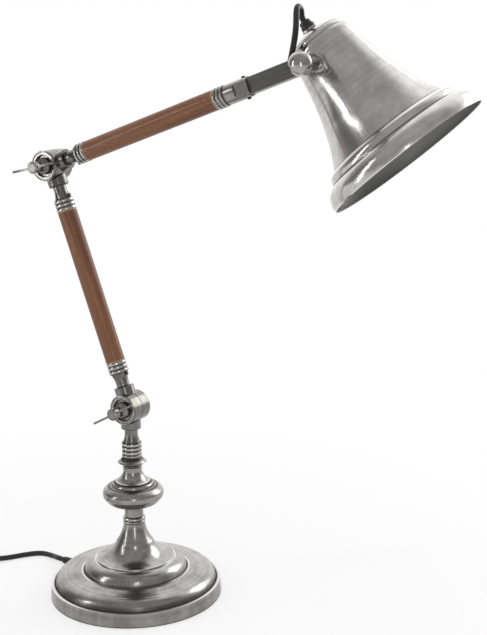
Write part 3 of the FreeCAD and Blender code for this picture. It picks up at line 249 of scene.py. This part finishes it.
CORD, BASE_RADIUS, CORD_EXIT_HEIGHT = 0.0065, 0.1, 0.009
SWITCH_LENGTH, SWITCH_CORD_HEIGHT = 0.058, 0.0074
COIL_REACH, COIL_PITCH, LAYER_RISE, COIL_PARTS = 0.048, 0.00355, 0.0071, 6
out = Vector((math.cos(math.radians(173)), math.sin(math.radians(173)), 0))
base_edge = out * BASE_RADIUS + Vector((0, 0, CORD_EXIT_HEIGHT))
switch_way = Vector((-0.906, -0.423, 0)).normalized()
switch_side = Vector((0.423, -0.906, 0)).normalized()
switch_in = Vector((-0.229, -0.038, SWITCH_CORD_HEIGHT))
switch_out = switch_in + switch_way * SWITCH_LENGTH
coil_start = switch_out + switch_way * 0.054 + Vector((0, 0, CORD / 2 - SWITCH_CORD_HEIGHT))
coil_middle = coil_start + switch_side * COIL_REACH
route = [base_edge + out * 0.012, base_edge + out * 0.031,
         Vector((-0.1465, 0.028, 0.0034)), Vector((-0.168, 0.0295, 0.0033)),
         Vector((-0.184, 0.012, 0.0033)), Vector((-0.197, -0.008, 0.0033)),
         switch_in - switch_way * 0.015, switch_in + switch_way * 0.007,
         switch_out - switch_way * 0.007, switch_out + switch_way * 0.010,
         coil_start - switch_way * 0.024, coil_start - switch_way * 0.0065]
straight_points = len(route)
reach, height = -COIL_REACH, CORD / 2
for step in [-1] * 5 + [-1.5, 0, 1.5] + [1] * 5:
    grown = -reach + math.copysign(1, -reach) * step * COIL_PITCH
    lifts = LAYER_RISE if step == 0 else 0
    for part in range(COIL_PARTS):
        share = (part + 0.5) / COIL_PARTS
        angle = math.pi * share
        radius = (abs(reach) + abs(grown)) / 2 / math.cos(math.pi / 2 / COIL_PARTS)
        shift = (reach + grown) / 2
        side = shift + math.copysign(1, reach) * radius * math.cos(angle)
        ahead = math.copysign(1, -reach) * radius * math.sin(angle)
        route.append(coil_middle + switch_side * side + switch_way * ahead
                     + Vector((0, 0, height - coil_middle.z + lifts * share)))
    reach, height = grown, height + lifts
spot_now = (coil_middle + switch_side * reach - switch_way * 0.0065
            + Vector((0, 0, height - coil_middle.z)))
for length, heading, height in ((0.016, 25, 0.01035), (0.020, 13, 0.0064), (0.020, -5, 0.0039),
                                (0.018, -13, 0.007), (0.016, -10, 0.007)):
    step = Vector((math.cos(math.radians(heading)), math.sin(math.radians(heading)), 0)) * length
    spot_now = Vector((spot_now.x + step.x, spot_now.y + step.y, height))
    route.append(spot_now)


def lead(name, points, thickness):
    """A round lead on one smooth spline through its route's control points."""
    line = bpy.data.curves.new(name, "CURVE")
    line.dimensions = "3D"
    line.bevel_depth = thickness / 2
    line.bevel_resolution = 5
    line.resolution_u = 6
    line.use_fill_caps = True
    spline = line.splines.new("NURBS")
    spline.points.add(len(points) - 1)
    for control, place in zip(spline.points, points):
        control.co = (*place, 1)
    spline.order_u = 3
    spline.use_endpoint_u = True
    piece = bpy.data.objects.new(name, line)
    bpy.context.scene.collection.objects.link(piece)
    return piece


mains_lead = lead("mains_lead", route, CORD)
mains_lead.data.materials.append(sheath)
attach(mains_lead, "base")
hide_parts("mains_cord", "switch_lead", "cord_coil", "cord_tail")
dress(sheath, "base_lead", "lower_arm_lead", "upper_arm_lead")

# Cable loop at the head: the same lead goes from the rear of the bar, up close behind the
# pivot and over into the gland on the crown.
HEAD_CABLE = 0.0063
bar_hole = Vector((0.2010, 0, 0.6024))
gland = Vector((0.197346, 0.054573, 0.653532))
gland_way = Vector((-0.62317, -0.10453, 0.77507))
loop = lead("head_cable_loop",
            [bar_hole + Vector((0, 0.002, 0)), bar_hole + Vector((0, 0.0135, 0.0004)),
             bar_hole + Vector((0.0025, 0.020, 0.0246)),
             bar_hole + Vector((0.0035, 0.025, 0.0446)),
             bar_hole + Vector((-0.0023, 0.036, 0.0674)),
             gland + Vector((-0.0003, -0.004, 0.013)), gland + gland_way * 0.004,
             gland - gland_way * 0.004], HEAD_CABLE)
loop.data.resolution_u = 12
bpy.ops.object.select_all(action="DESELECT")
loop.select_set(True)
bpy.context.view_layer.objects.active = loop
bpy.ops.object.convert(target="MESH")
loop = bpy.context.object
loop.data.materials.clear()
loop.data.materials.append(sheath)
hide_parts("head_cable")
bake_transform(loop)


# Turned and spun metal: brass plated with antique nickel. Lathe lines run round each
# piece's own axis, and dark patina stays in its grooves and fades over the open faces.
# Painted highlights lie along some edges, and painted shade in some hollows and edges.
def turned_places(spot, origin, axis):
    """Millimetres along and out from a turning axis, for every point of the skin."""
    off = spot.vector("SUBTRACT", tuple(origin))
    along = off.vector("DOT_PRODUCT", tuple(axis), "Value") * 1000
    across = off.vector("CROSS_PRODUCT", tuple(axis))
    out = across.node("ShaderNodeVectorMath", {"operation": "LENGTH"}, {0: across}, "Value")
    return along, out * 1000


def antique_nickel(name, origin, axis, light=(0.37, 0.36, 0.342), worn=(0.2, 0.192, 0.18),
                   grooves=None, highlights=None, rough=0.14, inside=False):
    """Turned nickel. From the two distances, grooves gives the depth of the patina and of
    any painted shade, and the other function where painted highlights lie on the edges."""
    material, shader, spot = new_finish(name, Metallic=1.0)
    along, out = turned_places(spot, origin, axis)
    profile = spot.node("ShaderNodeCombineXYZ", None, {0: along, 1: out})
    bands = profile.grain(0.35, 3, 0.6)
    hair = profile.grain(5.0, 2, 0.6)
    cloud = spot.grain(30, 4, 0.6)
    wisps = spot.vector("MULTIPLY", (70, 70, 26)).grain(1.0, 3, 0.65)
    tarnish = (0.5 * cloud + 0.45 * wisps + 0.3 * bands).rises(0.45, 0.85)
    colour = tarnish.colours(light, worn)
    roughness = rough + 0.13 * tarnish + 0.05 * hair
    if grooves:
        # Dark colour from the grooves mask: real patina in the hollows, with painted shade and
        # painted dark reflections where a piece's mask lays them.
        patina_and_shade = grooves(along, out) * (0.75 + 0.5 * cloud)
        patina_and_shade = patina_and_shade.sum("MINIMUM", patina_and_shade, 1)
        colour = (0.93 * patina_and_shade).colours(colour, (0.045, 0.041, 0.036))
        roughness = roughness + 0.18 * patina_and_shade
    if highlights:
        # Painted highlights: a lighter, smoother colour along the bright edges.
        painted_highlight = highlights(along, out)
        colour = painted_highlight.colours(colour, (0.7, 0.685, 0.655))
        roughness = roughness - 0.06 * painted_highlight
    if inside:
        ways = material.node_tree.nodes.new("ShaderNodeTexCoord").outputs["Normal"]
        off = spot.vector("SUBTRACT", tuple(origin))
        outward = off.vector("CROSS_PRODUCT", tuple(axis))
        outward = outward.node("ShaderNodeVectorMath", {"operation": "CROSS_PRODUCT"},
                               {0: tuple(axis), 1: outward})
        hollow = 1 - outward.vector("DOT_PRODUCT", Tone(spot.tree, ways),
                                    "Value").rises(-0.004, 0.004)
        # Inside: a duller finish, with painted shade that darkens it deeper in, towards the
        # lampholder.
        dull_with_painted_shade = along.rises(112, 152).colours((0.03, 0.03, 0.031), (0.17, 0.168, 0.165))
        colour = hollow.colours(colour, dull_with_painted_shade)
        roughness = roughness + 0.3 * hollow
        lay(shader, "Metallic", 1 - 0.5 * hollow)
    lay(shader, "Base Color", colour)
    lay(shader, "Roughness", roughness)
    raise_skin(shader, hair * 0.6 + wisps * 0.4, 0.0001, 0.12)
    return material


def turn_up(name, stations, origin, way, body, material, sides=64, soft=0.0002):
    """A turned piece: a ring, drawn out and resized from station to station (radius and
    height in millimetres), closed on itself, set on its axis and broken at its edges."""
    bpy.ops.object.select_all(action="DESELECT")
    bpy.ops.mesh.primitive_circle_add(vertices=sides, radius=stations[0][0] / 1000)
    piece = bpy.context.object
    piece.name = name
    bpy.ops.object.mode_set(mode="EDIT")
    bpy.ops.mesh.select_all(action="SELECT")
    bpy.ops.transform.translate(value=(0, 0, stations[0][1] / 1000))
    ends = stations[:1] if stations[0][0] > 0.1 else []
    for (radius, height), (wider, higher) in zip(stations, stations[1:] + ends):
        bpy.ops.mesh.extrude_region_move(
            TRANSFORM_OT_translate={"value": (0, 0, (higher - height) / 1000)})
        bpy.ops.transform.resize(value=(wider / radius, wider / radius, 1),
                                 center_override=(0, 0, higher / 1000))
    bpy.ops.mesh.select_all(action="SELECT")
    bpy.ops.mesh.remove_doubles(threshold=0.000002)
    bpy.ops.mesh.normals_make_consistent(inside=False)
    bpy.ops.object.mode_set(mode="OBJECT")
    return settle(piece, origin, way.to_track_quat("Z", "Y"), body, material, soft)


def settle(piece, origin, turn, body, material, soft):
    """Sets a new piece in its place, breaks its edges, and gives it its finish and body."""
    if soft:
        edge = piece.modifiers.new("edges", "BEVEL")
        edge.width, edge.segments, edge.angle_limit = soft, 2, math.radians(35)
        bpy.ops.object.modifier_apply(modifier=edge.name)
    piece.location = origin
    piece.rotation_mode = "QUATERNION"
    piece.rotation_quaternion = turn
    bpy.ops.object.transform_apply(location=True, rotation=True, scale=True)
    bpy.ops.object.shade_smooth_by_angle(angle=math.radians(35))
    piece.data.materials.clear()
    piece.data.materials.append(material)
    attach(piece, body)
    return piece


UP = Vector((0, 0, 1))
FLOOR_MIDDLE = Vector((0, 0, 0))


def base_grooves(along, out):
    """Dark lines in the ledge's groove and the step's groove, and painted shade along the foot's
    lowest edge by the table.
    """
    return strongest(out.near(94.0, 2.6) * 0.8, out.near(60.6, 1.5), along.near(1.2, 1.2))


def base_highlights(along, out):
    """Painted highlights on the edges: the rim's upper edge, the ledge's and the band's."""
    return strongest(out.near(97.7, 1.5) * along.rises(15.5, 16.6),
                     out.near(62.6, 1.5) * 0.8, out.near(46.8, 1.2) * 0.8)


dress(antique_nickel("spun_base", FLOOR_MIDDLE, UP, grooves=base_grooves, highlights=base_highlights),
      "base_shell")


def column_grooves(along, out):
    """Dark lines under the knop's collars and where the turned pieces meet."""
    return strongest(*(along.near(place, width) for place, width in
                       ((45.0, 1.6), (88.0, 1.0), (95.5, 1.0), (132.9, 1.2), (137.4, 1.1),
                        (156, 0.9), (172, 0.8))))


turned_column = antique_nickel(
    "turned_column", FLOOR_MIDDLE, UP, grooves=column_grooves,
    # Painted highlights on an edge 45 mm out and on a line 139 mm up.
    highlights=lambda along, out: out.near(45.2, 0.9) * 0.8 + along.near(139.0, 0.6) * 0.7)
dress(turned_column, "column_foot", "column_knop")
dress(antique_nickel("neck_ring_nickel", FLOOR_MIDDLE, UP, light=(0.56, 0.54, 0.5),
                     grooves=lambda along, out: along.near(91.2, 0.7)), "neck_ring")

# Cup at the column's top: turned nickel with a sharp rim and a hollow-sided shoulder that
# carries the knuckle's lowest rib, threaded on the column rod.
cup = turn_up("column_cup",
              [(5.15, 156.0), (11.2, 156.0), (11.5, 157.2), (12.5, 158.7), (14.4, 160.1),
               (16.2, 160.9), (16.8, 161.6), (16.4, 162.2), (14.7, 163.1), (13.2, 164.4),
               (12.2, 165.8), (11.6, 167.2), (10.7, 167.3), (10.7, 168.0), (11.4, 168.1),
               (11.65, 168.8), (11.65, 170.2), (11.4, 170.9), (10.5, 171.0), (10.5, 172.0),
               (5.15, 172.0)],
              FLOOR_MIDDLE, UP, "base",
              # The cup's hollow upper shoulder is darkened as a painted dark reflection; the line
              # at its top is where the ferrule sits.
              antique_nickel("cup_nickel", FLOOR_MIDDLE, UP, grooves=lambda along, out:
                             along.rises(162.6, 165.0) * (1 - out.rises(12.6, 15.4))
                             * (1 - along.rises(167.9, 168.4)) + along.near(171.5, 0.7)))
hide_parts("column_dish")

# Knuckle ferrules, cast and turned: a drum half, a saddle collar, a waist and three ribs
# that end at the wood. Patina lies between the ribs and round the collar.
LOWER_JOINT = Vector((0, 0, 0.2265))
UPPER_JOINT = Vector((-0.0977576, 0, 0.4995265))
HEAD_PIVOT = Vector((0.2303373, 0, 0.6124986))
LEAN, RISE = math.radians(19.7), math.radians(19)
lower_way = Vector((-math.sin(LEAN), 0, math.cos(LEAN)))
upper_way = Vector((math.cos(RISE), 0, math.sin(RISE)))


def rib_grooves(along, out):
    """Dark where the ferrule is cut in between its ribs, and under its collar."""
    low = along.rises(40, 41) * (1 - out.rises(10.5, 11.2))
    return strongest(along.near(25.4, 1.4), low * 0.95)


def rib_highlights(along, out):
    """Painted highlights on the ribs and on the collar's corner."""
    return along.rises(40, 41) * out.rises(11.2, 11.6) * 0.6


for node, joint, way in (("column_ferrule", LOWER_JOINT, -UP),
                         ("lower_arm_foot", LOWER_JOINT, lower_way),
                         ("lower_arm_head", UPPER_JOINT, -lower_way),
                         ("upper_arm_foot", UPPER_JOINT, upper_way)):
    dress(antique_nickel(node + "_nickel", joint, way, light=(0.235, 0.227, 0.213),
                         worn=(0.125, 0.119, 0.11), grooves=rib_grooves, highlights=rib_highlights),
          node)
dress(antique_nickel("head_ferrule_nickel", UPPER_JOINT, upper_way,
                     grooves=lambda along, out: along.rises(235, 236)
                     * (1 - along.rises(250, 251)) * (1 - out.rises(10.5, 11.2))),
      "head_ferrule")
across = Vector((0, -1, 0))
for name, joint in (("lower_joint", LOWER_JOINT), ("upper_joint", UPPER_JOINT)):
    dress(antique_nickel(name + "_screw_nickel", joint, across, light=(0.27, 0.26, 0.244),
                         worn=(0.14, 0.133, 0.123), rough=0.2),
          name + "_wing_screw", name + "_bolt")
    dress(antique_nickel(name + "_bezel_nickel", joint, across,
                         grooves=lambda along, out: 0.8 * (1 - out.rises(12.4, 13.4))),
          name + "_bezel")
knob_nickel = antique_nickel("knob_nickel", HEAD_PIVOT, across, light=(0.46, 0.445, 0.42))
dress(knob_nickel, "shade_boss")

# Head knob: a turned nickel ball, flat at the back where it presses on the bar's washer,
# with the stud that runs through the bar into the shade's boss.
BALL, BALL_MIDDLE, BACK = 12.4, 14.4, 6.9
ball_turns = [math.radians(127.8 - 9.13 * step) for step in range(15)]
knob = turn_up("ball_knob",
               [(0.001, -21.4), (3.9, -21.4), (3.9, BACK), (8.2, BACK)]
               + [(max(BALL * math.sin(turn), 0.001), BALL_MIDDLE + BALL * math.cos(turn))
                  for turn in ball_turns],
               HEAD_PIVOT, across, "head_knob", knob_nickel)
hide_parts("head_knob")

# Bell shade, spun from one disc, with beads at the crown and the lip. It is plated inside
# and out; the inside is duller, and painted shade darkens it towards the lampholder.
CROWN = Vector((0.205447, 0.0559315, 0.643456))
bell_way = Vector((0.6231712, 0.1045285, -0.7750687))


def bell_grooves(along, out):
    """Dark lines beside the crown's beads and above and below the heavy lip bead."""
    return strongest(along.near(7.6, 0.9), *(along.near(place, width) * 0.85 for place, width
                                             in ((13.6, 0.8), (131.0, 1.3), (142.0, 1.1))))


def bell_highlights(along, out):
    """Painted highlights on the crown's beads, under the crease, under the bead and at the lip."""
    return strongest(along.near(11.2, 1.4) * 0.6, *(along.near(place, width) for place, width
                                                    in ((133.6, 1.5), (143.8, 1.5), (163.6, 1.2))))


dress(antique_nickel("spun_bell", CROWN, bell_way, light=(0.6, 0.585, 0.562),
                     worn=(0.4, 0.388, 0.37), grooves=bell_grooves, highlights=bell_highlights,
                     rough=0.13, inside=True), "bell_shade")
dress(antique_nickel("crown_ring_nickel", CROWN, bell_way, light=(0.66, 0.64, 0.6)),
      "crown_ring")

WOOD_START, WOOD_END = 0.0545, 0.2355


# Wooden arms: turned hardwood rods, reddish brown and oiled, with fine grain along them and
# a paler scraped ring at each end.
def oiled_wood(name, origin, way, start, stop):
    """Grain drawn out along one arm."""
    material, shader, spot = new_finish(name, Coat_Weight=0.35, Coat_Roughness=0.17,
                                        Specular_IOR_Level=0.3)
    off = spot.vector("SUBTRACT", tuple(origin))
    side = Vector((0, 1, 0)).cross(way)
    along = off.vector("DOT_PRODUCT", tuple(way), "Value")
    wide = off.vector("DOT_PRODUCT", tuple(side), "Value")
    deep = off.vector("DOT_PRODUCT", (0, 1, 0), "Value")
    drawn = spot.node("ShaderNodeCombineXYZ", None, {0: wide, 1: deep, 2: along * 0.05})
    veins = drawn.grain(420, 4, 0.65)
    figure = drawn.grain(130, 2, 0.5)
    pores = drawn.node("ShaderNodeCombineXYZ", None, {0: wide, 1: deep, 2: along * 0.14})
    pores = pores.grain(1500, 1, 0.5).rises(0.6, 0.72)
    depth = 0.6 * veins + 0.6 * figure - 0.1
    tone = depth.node(
        "ShaderNodeValToRGB",
        {"stops": [(0.2, (0.075, 0.024, 0.010)), (0.42, (0.135, 0.050, 0.021)),
                   (0.6, (0.185, 0.074, 0.031)), (0.85, (0.255, 0.114, 0.051))]},
        {"Fac": depth})
    tone = (0.55 * pores).colours(tone, (0.05, 0.018, 0.01))
    ends = strongest(along.near(start, 0.0016), along.near(stop, 0.0016))
    tone = (0.7 * ends).colours(tone, (0.5, 0.36, 0.24))
    lay(shader, "Base Color", tone)
    lay(shader, "Roughness", 0.5 + 0.25 * veins)
    raise_skin(shader, veins * 0.6 - pores * 0.4, 0.0003, 0.35)
    return material


dress(oiled_wood("lower_arm_grain", LOWER_JOINT, lower_way, WOOD_START, WOOD_END),
      "lower_arm_wood")
dress(oiled_wood("upper_arm_grain", UPPER_JOINT, upper_way, WOOD_START, WOOD_END),
      "upper_arm_wood")

# Head bar: rectangular steel tube, dark grey and satin, with a painted highlight along its top and
# bottom edges.
bar_steel, shader, spot = new_finish("dark_bar", Metallic=0.85)
off = spot.vector("SUBTRACT", tuple(UPPER_JOINT))
side = off.vector("DOT_PRODUCT", tuple(Vector((0, 1, 0)).cross(upper_way)), "Value") * 1000
drawn = spot.node("ShaderNodeCombineXYZ", None,
                  {0: off.vector("DOT_PRODUCT", tuple(upper_way), "Value") * 60,
                   1: side, 2: off.vector("DOT_PRODUCT", (0, 1000, 0), "Value")})
scuffs = drawn.grain(0.9, 3, 0.6)
# Painted highlight: a lighter colour along both long edges of the bar.
edge = side.sum("ABSOLUTE", side).rises(7.9, 8.5)
lay(shader, "Base Color", (0.35 * scuffs + 0.5 * edge).colours((0.055, 0.055, 0.055),
                                                               (0.3, 0.29, 0.28)))
lay(shader, "Roughness", 0.3 + 0.2 * scuffs)
raise_skin(shader, scuffs, 0.0002, 0.2)
dress(bar_steel, "head_bar")

# Small steel parts: zinc-plated tubes, plates, nuts and pins, and blackened set screws.
zinc, shader, spot = new_finish("zinc_plate", Metallic=1.0)
cloud = spot.grain(120, 3)
lay(shader, "Base Color", cloud.colours((0.42, 0.42, 0.41), (0.58, 0.58, 0.56)))
lay(shader, "Roughness", 0.25 + 0.25 * cloud)
raise_skin(shader, spot.grain(900, 2), 0.0001, 0.2)
dress(zinc, "base_plate", "column_rod", "base_washer", "base_nut", "lower_arm_tube",
      "upper_arm_tube", "pivot_washers", "boss_nut", "lamp_nipple", "plug_pins", "bulb_cap")
black, shader, spot = new_finish("blackened_steel", Metallic=0.8)
cloud = spot.grain(400, 2)
lay(shader, "Base Color", cloud.colours((0.018, 0.018, 0.019), (0.05, 0.05, 0.052)))
lay(shader, "Roughness", 0.3 + 0.2 * cloud)
dress(black, "lower_arm_grub_screws", "upper_arm_grub_screws")
brass, shader, spot = new_finish("plain_brass", Metallic=1.0)
cloud = spot.grain(200, 2)
lay(shader, "Base Color", cloud.colours((0.55, 0.40, 0.18), (0.70, 0.54, 0.27)))
lay(shader, "Roughness", 0.28 + 0.2 * cloud)
dress(brass, "pivot_bush", "lampholder_contact")

# Iron weight, felt pad and friction rings, which the base and the joints hide.
iron, shader, spot = new_finish("cast_iron_weight", Metallic=0.6)
cloud = spot.grain(180, 4, 0.7)
lay(shader, "Base Color", cloud.colours((0.05, 0.05, 0.052), (0.15, 0.14, 0.13)))
lay(shader, "Roughness", 0.6 + 0.2 * cloud)
raise_skin(shader, cloud, 0.0008, 0.5)
dress(iron, "base_weight")
felt, shader, spot = new_finish("black_felt", Sheen_Weight=0.4)
fibres = spot.grain(1400, 4, 0.7)
lay(shader, "Base Color", fibres.colours((0.02, 0.02, 0.02), (0.07, 0.07, 0.068)))
lay(shader, "Roughness", 0.85 + 0.1 * fibres)
raise_skin(shader, fibres, 0.0006, 0.7)
dress(felt, "felt_pad")
fibre, shader, spot = new_finish("fibre_ring")
cloud = spot.grain(700, 3)
lay(shader, "Base Color", cloud.colours((0.02, 0.018, 0.017), (0.06, 0.05, 0.045)))
lay(shader, "Roughness", 0.6 + 0.2 * cloud)
dress(fibre, "lower_joint_friction_ring", "upper_joint_friction_ring")

# Moulded black plastic: gland, lampholder, strain relief, in-line switch and plug.
moulded, shader, spot = new_finish("moulded_black", Specular_IOR_Level=0.45)
cloud = spot.grain(160, 2)
lay(shader, "Base Color", cloud.colours((0.014, 0.014, 0.015), (0.026, 0.026, 0.027)))
lay(shader, "Roughness", 0.36 + 0.16 * spot.grain(900, 2))
raise_skin(shader, spot.grain(1600, 1), 0.0001, 0.3)
dress(moulded, "cable_gland", "lampholder_cap", "lampholder_body", "switch_rocker")

# Strain relief: a tapered rubber sleeve, moulded in rings so that it bends with the cord,
# with a flange against the rim of the base.
rings = [(3.25, -4.0), (5.4, -4.0), (5.4, 0.3), (6.8, 0.4), (6.8, 2.3), (5.6, 2.7)]
for ring in range(6):
    start, wide = 3.6 + ring * 2.8, 5.35 - ring * 0.19
    rings += [(wide - 0.8, start - 0.6), (wide - 0.8, start), (wide, start + 0.3),
              (wide - 0.06, start + 2.0)]
rings += [(3.6, 20.0), (3.25, 20.0)]
sleeve = turn_up("cord_sleeve", rings, base_edge, out, "base", moulded)
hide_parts("strain_relief")

# In-line switch: two moulded halves with a parting line, rounded ends and finger grooves on
# both sides of the rocker, held round the cord.
switch_middle = (switch_in + switch_out) / 2
switch_turn = Matrix((switch_way, switch_side, Vector((0, 0, 1)))).transposed().to_quaternion()


def edge_way(piece, edge):
    """From one end of an edge to the other."""
    first, last = (piece.data.vertices[end].co for end in edge.vertices)
    return last - first


def moulded_half(name, low, high, node):
    """One half of the switch, from a block with its corners, rim and grooves shaped."""
    bpy.ops.object.select_all(action="DESELECT")
    bpy.ops.mesh.primitive_cube_add(size=1)
    half = bpy.context.object
    half.name = name
    half.scale = (0.0576, 0.0256, high - low)
    half.location = (0, 0, (low + high) / 2)
    bpy.ops.object.transform_apply(location=True, rotation=True, scale=True)
    bpy.ops.object.mode_set(mode="EDIT")
    bpy.ops.mesh.select_all(action="DESELECT")
    bpy.ops.object.mode_set(mode="OBJECT")
    for edge in half.data.edges:
        edge.select = abs(edge_way(half, edge).z) > 0.001
    bpy.ops.object.mode_set(mode="EDIT")
    bpy.ops.mesh.select_mode(type="EDGE")
    bpy.ops.mesh.bevel(offset=0.0075, segments=6)
    bpy.ops.mesh.select_all(action="DESELECT")
    bpy.ops.object.mode_set(mode="OBJECT")
    if node == "switch_cover":
        for place in (-0.0225, -0.0195, -0.0165, 0.0165, 0.0195, 0.0225):
            groove_cut(half, (place, 0, high), (0.0012, 0.016, 0.0012))
        groove_cut(half, (0, 0, high), (0.0188, 0.0108, 0.0125))
    settle(half, switch_middle, switch_turn, "base", moulded, 0.0009)
    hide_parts(node)


def groove_cut(piece, middle, size):
    """Cuts a small block out of a piece."""
    bpy.ops.object.select_all(action="DESELECT")
    bpy.ops.mesh.primitive_cube_add(size=1, location=middle)
    block = bpy.context.object
    block.scale = size
    bpy.ops.object.transform_apply(location=True, rotation=True, scale=True)
    cut = piece.modifiers.new("groove", "BOOLEAN")
    cut.operation, cut.object, cut.solver = "DIFFERENCE", block, "EXACT"
    bpy.ops.object.select_all(action="DESELECT")
    piece.select_set(True)
    bpy.context.view_layer.objects.active = piece
    bpy.ops.object.modifier_apply(modifier=cut.name)
    bpy.data.objects.remove(block)


switch_middle.z = 0
moulded_half("switch_under", 0.0001, 0.0071, "switch_base")
moulded_half("switch_upper", 0.0075, 0.0169, "switch_cover")

# Plug: a moulded two-pin plug with a ringed neck that bends with the cord. It lies on its
# side past the coil.
plug_way = Vector((math.cos(math.radians(-10)), math.sin(math.radians(-10)), 0))
bpy.ops.object.select_all(action="DESELECT")
bpy.ops.mesh.primitive_cube_add(size=1)
grip = bpy.context.object
grip.name = "plug_grip"
grip.scale, grip.location = (0.026, 0.034, 0.0138), (0.025, 0, 0)
bpy.ops.object.transform_apply(location=True, rotation=True, scale=True)
for face in grip.data.polygons:
    face.select = face.normal.x < -0.9
bpy.ops.object.mode_set(mode="EDIT")
reached = 0.012
for drawn, narrower, lower in ([(0.0055, 0.5, 0.86)]
                               + 3 * [(0.0003, 0.84, 0.84), (0.0006, 1, 1),
                                      (0.0003, 1 / 0.88, 1 / 0.88), (0.0007, 1, 1)]):
    reached -= drawn
    bpy.ops.mesh.extrude_region_move(TRANSFORM_OT_translate={"value": (-drawn, 0, 0)})
    bpy.ops.transform.resize(value=(1, narrower, lower), center_override=(reached, 0, 0))
bpy.ops.object.mode_set(mode="OBJECT")
for place in (-0.0115, -0.0085, 0.0085, 0.0115):
    groove_cut(grip, (0.026, place, 0.0069), (0.013, 0.0012, 0.0012))
    groove_cut(grip, (0.026, place, -0.0069), (0.013, 0.0012, 0.0012))
settle(grip, spot_now - plug_way * 0.008, plug_way.to_track_quat("X", "Z"), "base",
       moulded, 0.0008)
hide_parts("plug_body")

# Coil tie: a soft black strap round the coil's turns, away from where they cross.
STRAP_WIDTH, STRAP_THICKNESS, STRAP_PLAY = 0.007, 0.0006, 0.0002
bundle = [place - coil_middle for place in route[straight_points:]]
bundle = [place for place in bundle
          if place.dot(switch_way) > 0.02 and abs(place.dot(switch_side)) < 0.016]
inner = min(place.dot(switch_way) for place in bundle) - CORD / 2 - STRAP_PLAY
outer = max(place.dot(switch_way) for place in bundle) + CORD / 2 + STRAP_PLAY
top = max(place.z for place in bundle) + coil_middle.z + CORD / 2 + STRAP_PLAY


def pick(piece, kind, wanted):
    """Leaves a piece in edit mode with only the wanted faces or edges selected."""
    bpy.ops.object.mode_set(mode="EDIT")
    bpy.ops.mesh.select_mode(type=kind)
    bpy.ops.mesh.select_all(action="DESELECT")
    bpy.ops.object.mode_set(mode="OBJECT")
    for part in piece.data.polygons if kind == "FACE" else piece.data.edges:
        part.select = wanted(part)
    bpy.ops.object.mode_set(mode="EDIT")


bpy.ops.object.select_all(action="DESELECT")
bpy.ops.mesh.primitive_cube_add(size=1)
tie = bpy.context.object
tie.name = "coil_tie"
tie.scale, tie.location = (outer - inner, STRAP_WIDTH, top - 0.0007), (0, 0, (top + 0.0007) / 2)
bpy.ops.object.transform_apply(location=True, rotation=True, scale=True)
pick(tie, "FACE", lambda face: abs(face.normal.y) > 0.9)
bpy.ops.mesh.delete(type="ONLY_FACE")
pick(tie, "EDGE", lambda edge: abs(edge_way(tie, edge).y) > 0.001)
bpy.ops.mesh.bevel(offset=0.0028, segments=5)
bpy.ops.object.mode_set(mode="OBJECT")
strap = tie.modifiers.new("strap", "SOLIDIFY")
strap.thickness, strap.offset = STRAP_THICKNESS, 1
bpy.ops.object.modifier_apply(modifier=strap.name)
middle = coil_middle + switch_way * (inner + outer) / 2
middle.z = 0
settle(tie, middle, switch_turn, "base", moulded, 0)

# Bulb: a small frosted glass lamp.
frost, shader, spot = new_finish("frosted_glass", IOR=1.5, Transmission_Weight=0.35)
cloud = spot.grain(500, 2)
lay(shader, "Base Color", cloud.colours((0.86, 0.86, 0.84), (0.93, 0.93, 0.91)))
lay(shader, "Roughness", 0.4 + 0.15 * cloud)
dress(frost, "bulb_glass")
